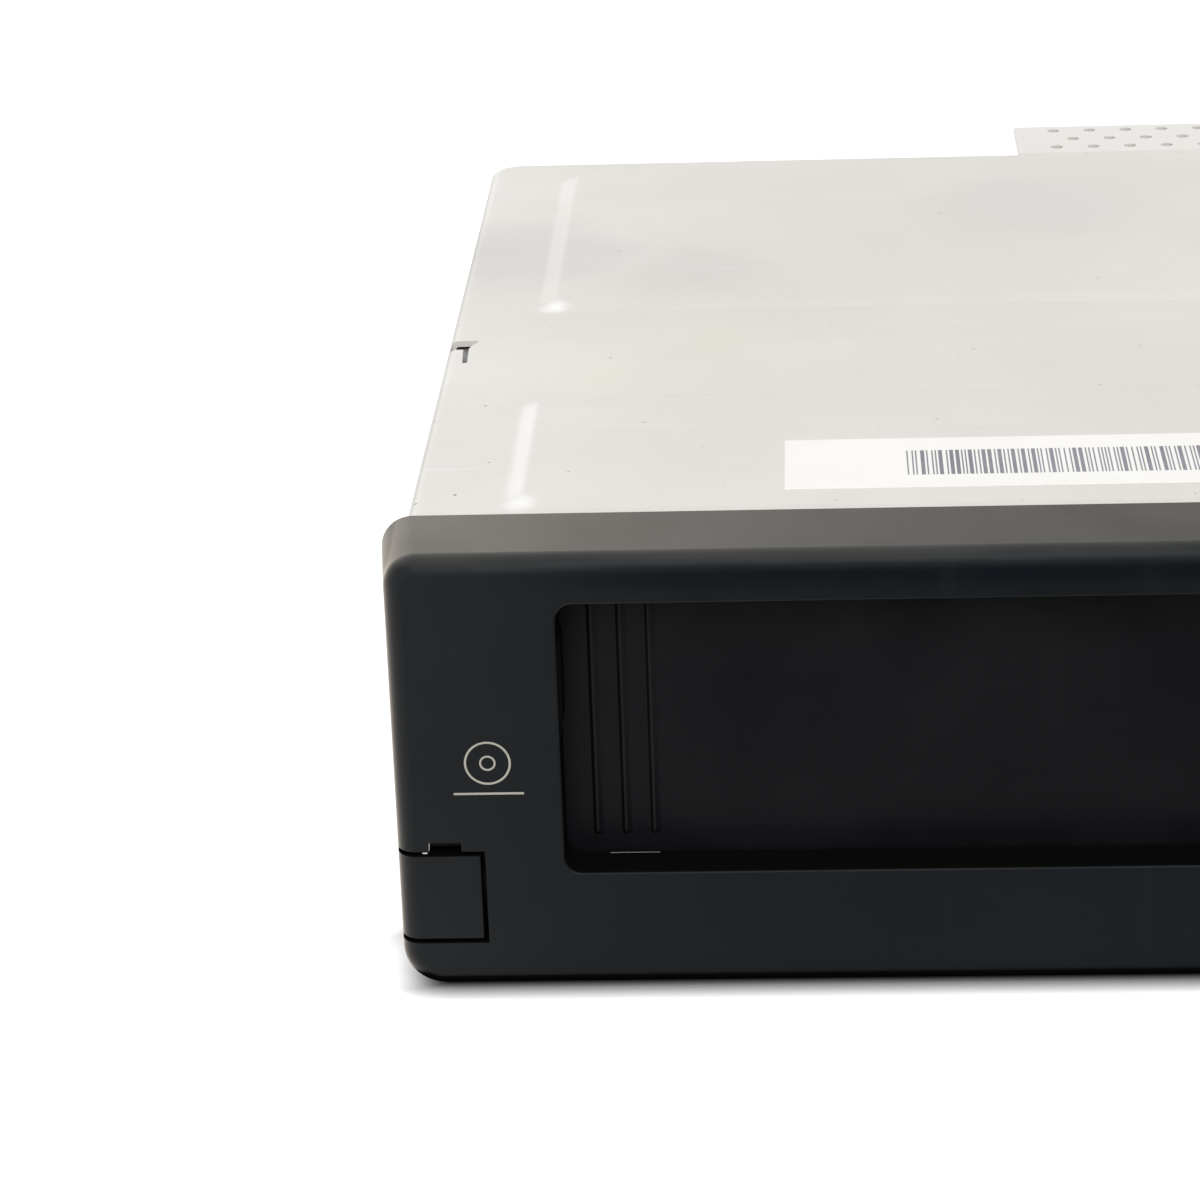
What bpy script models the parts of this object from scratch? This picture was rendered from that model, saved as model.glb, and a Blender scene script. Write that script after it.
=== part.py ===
"""A slim car disc changer: a black bezel with a sliding door in front of a six-disc magazine,
a grey sheet-metal case behind it, and the lifting disc drive inside. Metres, +Z up.

Places are measured from the bezel's left side (X), its front face (Y, backwards) and the
lowest point of the feet (Z). One empty shifts them all, so that the origin is under the middle."""

import math

import bmesh
import bpy
from mathutils import Vector

# Overall sizes
BEZEL_WIDTH = 0.262
BEZEL_HEIGHT = 0.060
BEZEL_DEPTH = 0.016
CASE_LENGTH = 0.1691
TONGUE_LENGTH = 0.0165

# Clearances and what all pieces share
FIT = 0.0003
RUN = 0.0005
OVERRUN = 0.002
SHEET = 0.0009
SMALLEST_ROUND = 0.0002
ROUND_SIDES = 20
HEX_SIDES = 6
HOLE_SIDES = 8
ROD_SIDES = 12
DIAL_SIDES = 24
DISC_SIDES = 32
CORNER_STEPS = 3
SMOOTH_ANGLE = math.radians(35)

# Bezel
BEZEL_CORNER = 0.0042
BEZEL_FOOT_CORNER = 0.0054
BEZEL_FLARE = 0.0014
BEZEL_ROUND = 0.0026
BEZEL_WALL = 0.0022
FACE_WALL = 0.0024
WINDOW_LEFT = 0.0217
WINDOW_WIDTH = 0.1476
WINDOW_BOTTOM = 0.0165
WINDOW_HEIGHT = 0.0371
WINDOW_CORNER = 0.0022
WINDOW_LIP = 0.0004
COLLAR_WALL = 0.0024
COLLAR_DEPTH = 0.0061

# Corner cap
CAP_WIDTH = 0.01085
CAP_BOTTOM = 0.0072
CAP_HEIGHT = 0.0119
CAP_WRAP = 0.0120
CAP_WALL = 0.0020
CAP_GAP = 0.00055
NOTCH_LEFT = 0.0042
NOTCH_WIDTH = 0.0042
NOTCH_HEIGHT = 0.0013
NOTCH_DEPTH = 0.0019

# Door
DOOR_RECESS = 0.00705
DOOR_THICK = 0.0018
DOOR_LAP = 0.0024
DOOR_LAP_Z = 0.0016
FRONT_LEAF_WIDTH = 0.0887
SEAM_LAP = 0.0030
LEAF_STEP = 0.0024
RIB_COUNT = 3
RIB_FIRST = 0.0034
RIB_PITCH = 0.00369
RIB_WIDTH = 0.0015
RIB_HEIGHT = 0.0006
RIB_LIFT = 0.0023
RAIL_THICK = 0.0015
RAIL_LIP = 0.0010
RAIL_REACH = 0.0016

# Mouth frame and eject button
MOUTH_FRAME_THICK = 0.0020
MOUTH_GAP = 0.0006
BUTTON_WIDTH = 0.0078
BUTTON_HEIGHT = 0.0140
BUTTON_SPACING = 0.0034
BUTTON_PROUD = 0.0006
BUTTON_FLANGE = 0.0012
BUTTON_STEM = 0.0030

# Case
CASE_INSET = 0.0017
CASE_DROP = 0.0009
CASE_CORNER = 0.0050
CASE_EDGE_ROUND = 0.0014
COVER_SKIRT = 0.0016
PANEL_MARGIN = 0.0136
PANEL_RISE = 0.0008
PANEL_SLOPE = 0.0031
PANEL_CORNER = 0.0065
PANEL_FRONT_START = 0.0030
PANEL_FRONT_LENGTH = 0.0455
PANEL_GAP = 0.0380
PANEL_REAR_MARGIN = 0.0070
HOOK_SLOT_INSET = 0.0005
HOOK_SLOT_START = 0.0640
HOOK_SLOT_LENGTH = 0.0104
HOOK_SLOT_WIDTH = 0.0038
HOOK_SLOT_BAR = 0.0034
CHASSIS_SHEET = 0.0010
CHASSIS_WALL_HEIGHT = 0.0125
FOOT_HEIGHT = 0.0012
FOOT_RADIUS = 0.0070
FOOT_INSET = 0.0220
TONGUE_LEFT = 0.0895
TONGUE_WIDTH = 0.1385
VENT_RADIUS = 0.0008
VENT_PITCH = 0.0061
VENT_ROW_PITCH = 0.0051
VENT_SETBACK = 0.0034
VENT_ROWS = 3
VENT_MARGIN = 0.0066
HOUSING_DROP = 0.0490
LABEL_LEFT = 0.0506
LABEL_WIDTH = 0.0760
LABEL_START = 0.0074
LABEL_LENGTH = 0.0186
LABEL_THICK = 0.00015
LABEL_SEAT = 0.0001
SCREW_RADIUS = 0.0026
SCREW_HEAD = 0.0008
SCREW_SHANK_RADIUS = 0.0011
SCREW_SHANK_LENGTH = 0.0040
NUT_RADIUS = 0.0035
NUT_BORE = 0.0021
NUT_LENGTH = 0.0050
NUT_HEIGHT = 0.0300
NUT_PLACE_SHARES = (0.24, 0.80)
SCREW_PLACE_SHARES = (0.08, 0.94)
SCREW_LIFT = 0.0062

# Rear socket
SOCKET_WIDTH = 0.0240
SOCKET_HEIGHT = 0.0110
SOCKET_DEPTH = 0.0110
SOCKET_WALL = 0.0015
SOCKET_PLACE_SHARE = 0.72
SOCKET_LIFT = 0.0200
SOCKET_PROUD = 0.0006
PIN_COUNT = 6
PIN_RADIUS = 0.0005
PIN_LENGTH = 0.0040

# Magazine
DISC_RADIUS = 0.060
MAGAZINE_SIDE_GAP = 0.0028
MAGAZINE_WIDTH = 0.132
MAGAZINE_LENGTH = 0.140
MAGAZINE_FRONT = 0.0190
MAGAZINE_BOTTOM = 0.0200
MAGAZINE_PLATE = 0.0012
MAGAZINE_WALL = 0.0020
TRAY_COUNT = 6
TRAY_PITCH = 0.0045
TRAY_THICK = 0.0014
TRAY_OPEN_GAP = 0.0035
TRAY_SLOT = 0.0340
GUIDE_WALL = 0.0030
GUIDE_PLATE = 0.0016
GUIDE_LEG = 0.0060
GUIDE_RISE = 0.0500

# Disc drive
LIFT_TRAVEL = 0.0225
MECH_SHEET = 0.0010
MECH_LEFT_GAP = 0.0130
MECH_RIGHT_GAP = 0.0045
MECH_FLOOR = 0.0060
MECH_HEIGHT = 0.0370
DAMPER_RADIUS = 0.0055
DAMPER_INSET = 0.0110
CARRIAGE_SHEET = 0.0012
CARRIAGE_DROP = 0.0084
SPINDLE_PLACE_SHARE = 0.26754
LUG_THICK = 0.0015
LUG_WIDTH = 0.0030
LIFT_PLATE_THICK = 0.0008
LIFT_PLATE_MARGIN = 0.0040
LIFT_PIN_RADIUS = 0.0012
LIFT_PIN_OFFSET = 0.0040
LIFT_PIN_PLACE_SHARE = 0.41667
SPINDLE_MOTOR_RADIUS = 0.0100
SPINDLE_MOTOR_HEIGHT = 0.0042
TURNTABLE_RADIUS = 0.0150
TURNTABLE_HUB_RADIUS = 0.0073
TURNTABLE_GAP = 0.0007
SHAFT_RADIUS = 0.0010
ARM_WIDTH = 0.0180
ARM_THICK = 0.0012
ARM_LIFT = 0.0046
ARM_PIN_RADIUS = 0.0010
PUCK_RADIUS = 0.0140
PUCK_HEIGHT = 0.0022
PICKUP_WIDTH = 0.0240
PICKUP_LENGTH = 0.0170
PICKUP_HEIGHT = 0.0044
ROD_RADIUS = 0.0010
ROD_SPREAD = 0.0170
ROD_LIFT = 0.0028
LENS_RADIUS = 0.0030
LENS_HEIGHT = 0.0006
SCREW_CORE = 0.0011
SCREW_CREST = 0.0015
SCREW_PITCH = 0.0030
SLED_MOTOR_RADIUS = 0.0045
SLED_MOTOR_LENGTH = 0.0220
LIFT_MOTOR_RADIUS = 0.0075
LIFT_MOTOR_LENGTH = 0.0260
LIFT_MOTOR_LIFT = 0.0180
LIFT_MOTOR_INSET = 0.0270
WORM_CORE = 0.0020
WORM_CREST = 0.0028
WORM_STARTS = 4
WORM_PITCH = 0.0022
WORM_LENGTH = 0.0160
GEAR_TEETH = 24
GEAR_ROOT = 0.0078
GEAR_TIP = 0.0090
GEAR_THICK = 0.0030

# Electronics
BOARD_THICK = 0.0016
BOARD_LIFT = 0.0036
BOARD_MARGIN = 0.0060
STANDOFF_RADIUS = 0.0025
CHIP_HEIGHT = 0.0020
CHIP_SHARES = (
    (0.12, 0.20, 0.20, 0.14),
    (0.45, 0.28, 0.24, 0.17),
    (0.20, 0.62, 0.12, 0.18),
    (0.58, 0.66, 0.26, 0.10),
)
RIBBON_THICK = 0.0004
RIBBON_WIDTH = 0.0180
RIBBON_STEPS = 12

# Angle dials on the sides
DIAL_RADIUS = 0.0130
DIAL_THICK = 0.0020
DIAL_PLACE_SHARE = 0.52
DIAL_HEIGHT = 0.0300
DIAL_SLOT_WIDTH = 0.0016
DIAL_SLOT_DEPTH = 0.0008

# Places that follow from the sizes
CASE_FRONT = BEZEL_DEPTH + FIT
CASE_REAR = CASE_FRONT + CASE_LENGTH
TOTAL_DEPTH = CASE_REAR + TONGUE_LENGTH
CASE_LEFT = CASE_INSET
CASE_RIGHT = BEZEL_WIDTH - CASE_INSET
CASE_TOP = BEZEL_HEIGHT - CASE_DROP
CHASSIS_LEFT = CASE_LEFT + SHEET + FIT
CHASSIS_RIGHT = CASE_RIGHT - SHEET - FIT
CHASSIS_REAR = CASE_REAR - SHEET - FIT
FLOOR_TOP = FOOT_HEIGHT + CHASSIS_SHEET
WINDOW_RIGHT = WINDOW_LEFT + WINDOW_WIDTH
WINDOW_TOP = WINDOW_BOTTOM + WINDOW_HEIGHT
DOOR_LEFT = WINDOW_LEFT - DOOR_LAP
DOOR_BOTTOM = WINDOW_BOTTOM - DOOR_LAP_Z
DOOR_TOP = WINDOW_TOP + DOOR_LAP_Z
SEAM = DOOR_LEFT + FRONT_LEAF_WIDTH
DOOR_BACK = DOOR_RECESS + LEAF_STEP + DOOR_THICK
RAIL_BACK = DOOR_BACK + FIT + RAIL_LIP
MOUTH_FRONT = RAIL_BACK + FIT
MOUTH_BACK = MOUTH_FRONT + MOUTH_FRAME_THICK
MAGAZINE_LEFT = WINDOW_LEFT + MAGAZINE_SIDE_GAP
MAGAZINE_RIGHT = MAGAZINE_LEFT + MAGAZINE_WIDTH
MAGAZINE_REAR = MAGAZINE_FRONT + MAGAZINE_LENGTH
MAGAZINE_HEIGHT = 2 * MAGAZINE_PLATE + TRAY_COUNT * TRAY_PITCH + RUN
MAGAZINE_TOP = MAGAZINE_BOTTOM + MAGAZINE_HEIGHT
TRAY_LEFT = MAGAZINE_LEFT + MAGAZINE_WALL + RUN
TRAY_WIDTH = MAGAZINE_RIGHT - TRAY_OPEN_GAP - TRAY_LEFT
TRAY_FRONT = MAGAZINE_FRONT + MAGAZINE_WALL + RUN
TRAY_REAR = MAGAZINE_REAR - MAGAZINE_WALL - RUN
LOWEST_TRAY = MAGAZINE_BOTTOM + MAGAZINE_PLATE + RUN
TOP_TRAY = LOWEST_TRAY + (TRAY_COUNT - 1) * TRAY_PITCH
DISC_X = TRAY_LEFT + TRAY_WIDTH / 2
DISC_Y = (TRAY_FRONT + TRAY_REAR) / 2
MECH_LEFT = MAGAZINE_RIGHT + MECH_LEFT_GAP
MECH_RIGHT = CHASSIS_RIGHT - CHASSIS_SHEET - MECH_RIGHT_GAP
SPINDLE_X = MECH_LEFT + SPINDLE_PLACE_SHARE * (MECH_RIGHT - MECH_LEFT)
FIRST_LIFT_PIN = SPINDLE_X + LIFT_PIN_OFFSET
SECOND_LIFT_PIN = FIRST_LIFT_PIN + LIFT_PIN_PLACE_SHARE * (MECH_RIGHT - FIRST_LIFT_PIN)
LIFT_PINS = (FIRST_LIFT_PIN, SECOND_LIFT_PIN)
LUG_FRONT = TRAY_REAR + FIT
ARM_PIN_Y = LUG_FRONT + LUG_WIDTH / 2
LIFT_FRONT = TRAY_FRONT - RUN - LIFT_PLATE_THICK
LIFT_REAR = ARM_PIN_Y + 2 * ARM_PIN_RADIUS + RUN
MECH_FRONT = LIFT_FRONT - FIT - MECH_SHEET
MECH_REAR = LIFT_REAR + LIFT_PLATE_THICK + FIT + MECH_SHEET
CARRIAGE_TOP = TOP_TRAY - CARRIAGE_DROP
CARRIAGE_BOTTOM = CARRIAGE_TOP - CARRIAGE_SHEET
CARRIAGE_FRONT = TRAY_FRONT
CARRIAGE_REAR = LIFT_REAR - FIT
CARRIAGE_LEFT = MECH_LEFT + FIT
CARRIAGE_RIGHT = MECH_RIGHT - FIT
HOUSING_RIGHT = TONGUE_LEFT + TONGUE_WIDTH - SHEET
HOUSING_LEFT = TONGUE_LEFT + SHEET
PANEL_SINK = SHEET / 3

for leftover in list(bpy.data.objects):
    bpy.data.objects.remove(leftover, do_unlink=True)

middle = bpy.data.objects.new("changer", None)
middle.location = (-BEZEL_WIDTH / 2, -TOTAL_DEPTH / 2, 0)
bpy.context.scene.collection.objects.link(middle)


def finish(name, colour, roughness, metallic):
    """A Principled material."""
    material = bpy.data.materials.new(name)
    material.use_nodes = True
    shader = material.node_tree.nodes["Principled BSDF"]
    shader.inputs["Base Color"].default_value = (*colour, 1)
    shader.inputs["Roughness"].default_value = roughness
    shader.inputs["Metallic"].default_value = metallic
    return material


BLACK = ((0.018, 0.021, 0.026), 0.45, 0.0)
DOOR_BLACK = ((0.010, 0.010, 0.012), 0.40, 0.0)
DARK_GREY = ((0.05, 0.05, 0.055), 0.55, 0.0)
CASE_GREY = ((0.74, 0.73, 0.70), 0.45, 0.3)
STEEL = ((0.60, 0.60, 0.58), 0.35, 1.0)
PAPER = ((0.90, 0.90, 0.88), 0.60, 0.0)
BRASS = ((0.75, 0.58, 0.30), 0.35, 1.0)
RUBBER = ((0.03, 0.03, 0.03), 0.80, 0.0)
TRAY_GREY = ((0.25, 0.25, 0.26), 0.50, 0.0)
WHITE_NYLON = ((0.80, 0.79, 0.74), 0.50, 0.0)
BOARD_GREEN = ((0.03, 0.16, 0.08), 0.50, 0.0)
LENS_BLUE = ((0.25, 0.35, 0.60), 0.10, 0.0)


def place(axis, a, b, along):
    """The point at a and b across the axis, in X, Y, Z order, and at along on it."""
    return {"X": (along, a, b), "Y": (a, along, b), "Z": (a, b, along)}[axis]


def rounded(low, high, radius):
    """The outline of a rectangle from low to high with round corners."""
    radius = max(radius, SMALLEST_ROUND)
    corners = (
        (high[0] - radius, high[1] - radius),
        (low[0] + radius, high[1] - radius),
        (low[0] + radius, low[1] + radius),
        (high[0] - radius, low[1] + radius),
    )
    points = []
    for quarter, (a, b) in enumerate(corners):
        for step in range(CORNER_STEPS + 1):
            angle = (quarter + step / CORNER_STEPS) * math.pi / 2
            points.append((a + radius * math.cos(angle), b + radius * math.sin(angle)))
    return points


def rectangle(low, high):
    return [(low[0], low[1]), (high[0], low[1]), (high[0], high[1]), (low[0], high[1])]


def circle(centre, radius, sides=ROUND_SIDES):
    turns = [2 * math.pi * step / sides for step in range(sides)]
    return [(centre[0] + radius * math.cos(t), centre[1] + radius * math.sin(t)) for t in turns]


def add_loft(bm, axis, levels):
    """A closed body through outlines with as many points each; a level is (outline, place)."""
    rings = []
    for outline, along in levels:
        rings.append([bm.verts.new(place(axis, a, b, along)) for a, b in outline])
    for low, high in zip(rings, rings[1:]):
        for i in range(len(low)):
            j = (i + 1) % len(low)
            bm.faces.new((low[i], low[j], high[j], high[i]))
    bm.faces.new(rings[0])
    bm.faces.new(rings[-1])


def add_prism(bm, axis, outline, start, end):
    add_loft(bm, axis, [(outline, start), (outline, end)])


def add_box(bm, low, high):
    add_prism(bm, "Z", rectangle(low[:2], high[:2]), low[2], high[2])


def add_rod(bm, axis, centre, radius, start, end, sides=ROUND_SIDES):
    add_prism(bm, axis, circle(centre, radius, sides), start, end)


def add_turned(bm, axis, centre, steps, sides=ROUND_SIDES):
    """A turned body; each step is (radius, place along the axis)."""
    add_loft(bm, axis, [(circle(centre, radius, sides), along) for radius, along in steps])


def add_thread(bm, axis, centre, size, start, end, starts=1, sides=HOLE_SIDES):
    """A rod whose section has one bump for each start; size is its core, crest and pitch."""
    core, crest, pitch = size
    count = max(2, round(HEX_SIDES * (end - start) / pitch))
    levels = []
    for level in range(count + 1):
        share = level / count
        turn = 2 * math.pi * share * (end - start) / (pitch * starts)
        outline = []
        for side in range(sides):
            angle = 2 * math.pi * side / sides
            bump = max(0, math.cos(starts * (angle - turn)))
            radius = core + (crest - core) * bump
            a = centre[0] + radius * math.cos(angle)
            outline.append((a, centre[1] + radius * math.sin(angle)))
        levels.append((outline, start + (end - start) * share))
    add_loft(bm, axis, levels)


def mesh_of(name, bm, pivot):
    bmesh.ops.recalc_face_normals(bm, faces=bm.faces)
    bmesh.ops.translate(bm, vec=-Vector(pivot), verts=bm.verts)
    mesh = bpy.data.meshes.new(name)
    bm.to_mesh(mesh)
    bm.free()
    return mesh


def piece(name, bm, look, pivot=(0, 0, 0)):
    """A named object with its own material and its origin at pivot."""
    obj = bpy.data.objects.new(name, mesh_of(name, bm, pivot))
    obj.parent = middle
    obj.location = pivot
    obj.data.materials.append(finish(name, *look))
    obj.data.shade_smooth()
    obj.data.set_sharp_from_angle(angle=SMOOTH_ANGLE)
    bpy.context.scene.collection.objects.link(obj)
    return obj


def combine(obj, operation, bm):
    """Cuts a hidden helper from the object, or joins it on."""
    count = len(obj.modifiers)
    name = f"{obj.name}_{operation.lower()}_{count}"
    helper = bpy.data.objects.new(name, mesh_of(name, bm, (0, 0, 0)))
    helper.parent = middle
    helper.hide_render = True
    helper.display_type = "WIRE"
    bpy.context.scene.collection.objects.link(helper)
    modifier = obj.modifiers.new(helper.name, "BOOLEAN")
    modifier.operation = operation
    modifier.solver = "EXACT"
    modifier.object = helper


def cut(obj, bm):
    combine(obj, "DIFFERENCE", bm)


def join_on(obj, bm):
    combine(obj, "UNION", bm)


def bezel_outline(inset, flare=0):
    """The outline of the bezel; its lower corners are rounder than its upper ones."""
    low = (inset - flare, inset)
    high = (BEZEL_WIDTH - inset + flare, BEZEL_HEIGHT - inset)
    upper = rounded(low, high, BEZEL_CORNER - inset)
    lower = rounded(low, high, BEZEL_FOOT_CORNER - inset)
    return upper[:len(upper) // 2] + lower[len(lower) // 2:]


def window_outline(grow):
    low = (WINDOW_LEFT - grow, WINDOW_BOTTOM - grow)
    high = (WINDOW_RIGHT + grow, WINDOW_TOP + grow)
    return rounded(low, high, WINDOW_CORNER + grow)


def quarter_round(radius):
    """(inset, depth) pairs of a quarter-round edge, from its face to its side."""
    pairs = []
    for step in range(CORNER_STEPS + 1):
        angle = step / CORNER_STEPS * math.pi / 2
        pairs.append((radius * (1 - math.sin(angle)), radius * (1 - math.cos(angle))))
    return pairs


def make_bezel():
    levels = [(bezel_outline(inset), depth) for inset, depth in quarter_round(BEZEL_ROUND)]
    bm = bmesh.new()
    add_loft(bm, "Y", levels + [(bezel_outline(0, BEZEL_FLARE), BEZEL_DEPTH)])
    bezel = piece("front_bezel", bm, BLACK)
    bm = bmesh.new()
    add_prism(bm, "Y", bezel_outline(BEZEL_WALL), FACE_WALL, BEZEL_DEPTH + OVERRUN)
    cut(bezel, bm)
    bm = bmesh.new()
    add_prism(bm, "Y", window_outline(COLLAR_WALL), FACE_WALL / 2, COLLAR_DEPTH)
    join_on(bezel, bm)
    bm = bmesh.new()
    flare = (window_outline(WINDOW_LIP + OVERRUN), -OVERRUN)
    add_loft(bm, "Y", [flare, (window_outline(0), WINDOW_LIP), (window_outline(0), COLLAR_DEPTH + OVERRUN)])
    cut(bezel, bm)
    bm = bmesh.new()
    low = (-OVERRUN, -OVERRUN, CAP_BOTTOM - CAP_GAP)
    add_box(bm, low, (CAP_WIDTH + CAP_GAP, CAP_WRAP + CAP_GAP, CAP_BOTTOM + CAP_HEIGHT + CAP_GAP))
    cut(bezel, bm)
    bm = bmesh.new()
    cap_top = CAP_BOTTOM + CAP_HEIGHT
    high = (NOTCH_LEFT + NOTCH_WIDTH, NOTCH_DEPTH, cap_top + CAP_GAP + NOTCH_HEIGHT)
    add_box(bm, (NOTCH_LEFT, -OVERRUN, cap_top), high)
    cut(bezel, bm)


def make_corner_cap():
    outline = quarter_round(BEZEL_ROUND)
    flare = BEZEL_FLARE * (CAP_WRAP - BEZEL_ROUND) / (BEZEL_DEPTH - BEZEL_ROUND)
    outline += [(-flare, CAP_WRAP), (CAP_WALL, CAP_WRAP), (CAP_WALL, FACE_WALL)]
    outline += [(CAP_WIDTH, FACE_WALL), (CAP_WIDTH, 0)]
    bm = bmesh.new()
    add_prism(bm, "Z", outline, CAP_BOTTOM, CAP_BOTTOM + CAP_HEIGHT)
    piece("corner_cap", bm, BLACK)


def make_door():
    bm = bmesh.new()
    add_box(bm, (DOOR_LEFT, DOOR_RECESS, DOOR_BOTTOM), (SEAM, DOOR_RECESS + DOOR_THICK, DOOR_TOP))
    front_leaf = piece("door_front_leaf", bm, DOOR_BLACK)
    bm = bmesh.new()
    for rib in range(RIB_COUNT):
        x = WINDOW_LEFT + RIB_FIRST + rib * RIB_PITCH
        back = DOOR_RECESS + DOOR_THICK / 2
        tip = DOOR_RECESS - RIB_HEIGHT
        outline = [(x, back), (x, DOOR_RECESS), (x + RIB_WIDTH / 4, tip)]
        outline += [(x + RIB_WIDTH, DOOR_RECESS), (x + RIB_WIDTH, back)]
        add_prism(bm, "Z", outline, WINDOW_BOTTOM + RIB_LIFT, WINDOW_TOP)
    join_on(front_leaf, bm)
    bm = bmesh.new()
    back_y = DOOR_RECESS + LEAF_STEP
    add_box(bm, (SEAM - SEAM_LAP, back_y, DOOR_BOTTOM), (WINDOW_RIGHT + DOOR_LAP, DOOR_BACK, DOOR_TOP))
    piece("door_rear_leaf", bm, DOOR_BLACK)
    rails = (("door_rail_lower", DOOR_BOTTOM, -1), ("door_rail_upper", DOOR_TOP, 1))
    for name, edge, outwards in rails:
        inner = edge + outwards * FIT
        outer = inner + outwards * RAIL_THICK
        tip = edge - outwards * (RAIL_REACH - FIT)
        front = COLLAR_DEPTH + FIT
        lip = DOOR_BACK + FIT
        outline = [(front, inner), (front, outer), (RAIL_BACK, outer)]
        outline += [(RAIL_BACK, tip), (lip, tip), (lip, inner)]
        bm = bmesh.new()
        add_prism(bm, "X", outline, DOOR_LEFT - RAIL_REACH, BEZEL_WIDTH - BEZEL_WALL - 3 * FIT)
        piece(name, bm, DARK_GREY)


def make_mouth():
    bm = bmesh.new()
    low = (DOOR_LEFT - RAIL_REACH, MOUTH_FRONT, BEZEL_WALL + FIT)
    button_left = MAGAZINE_RIGHT + BUTTON_SPACING
    button_right = button_left + BUTTON_WIDTH
    button_low = (WINDOW_BOTTOM + WINDOW_TOP - BUTTON_HEIGHT) / 2
    high = (button_right + BUTTON_SPACING, MOUTH_BACK, BEZEL_HEIGHT - BEZEL_WALL - FIT)
    add_box(bm, low, high)
    frame = piece("mouth_frame", bm, DARK_GREY)
    bm = bmesh.new()
    low = (MAGAZINE_LEFT - MOUTH_GAP, MOUTH_FRONT - OVERRUN, MAGAZINE_BOTTOM - MOUTH_GAP)
    add_box(bm, low, (MAGAZINE_RIGHT + MOUTH_GAP, MOUTH_BACK + OVERRUN, MAGAZINE_TOP + MOUTH_GAP))
    low = (button_left - FIT, MOUTH_FRONT - OVERRUN, button_low - FIT)
    add_box(bm, low, (button_right + FIT, MOUTH_BACK + OVERRUN, button_low + BUTTON_HEIGHT + FIT))
    cut(frame, bm)
    bm = bmesh.new()
    flange = MOUTH_BACK + FIT
    steps = []
    for grow, along in (
        (0, MOUTH_FRONT - BUTTON_PROUD),
        (0, flange),
        (BUTTON_FLANGE, flange),
        (BUTTON_FLANGE, flange + SHEET),
        (0, flange + SHEET),
        (0, flange + BUTTON_STEM),
    ):
        low = (button_left - grow, button_low - grow)
        steps.append((rectangle(low, (button_right + grow, button_low + BUTTON_HEIGHT + grow)), along))
    add_loft(bm, "Y", steps)
    piece("eject_button", bm, TRAY_GREY)


def case_outline(inset, front):
    """The case from above: square at the front, where the bezel is, and round at its rear corners."""
    left = CASE_LEFT + inset
    right = CASE_RIGHT - inset
    rear = rounded((left, front), (right, CASE_REAR - inset), CASE_CORNER - inset)
    return rear[:2 * (CORNER_STEPS + 1)] + [(left, front), (right, front)]


def panel_levels(start, length, drop, lowest):
    """A raised panel as a frustum, lowered by drop and carried down its own slope to lowest."""
    levels = []
    top = CASE_TOP + PANEL_RISE - drop
    for height in (lowest, top):
        inset = PANEL_SLOPE * (1 - (top - height) / PANEL_RISE)
        low = (PANEL_MARGIN + inset, start + inset)
        outline = rounded(low, (BEZEL_WIDTH - PANEL_MARGIN - inset, start + length - inset), PANEL_CORNER)
        levels.append((outline, height))
    return levels


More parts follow.
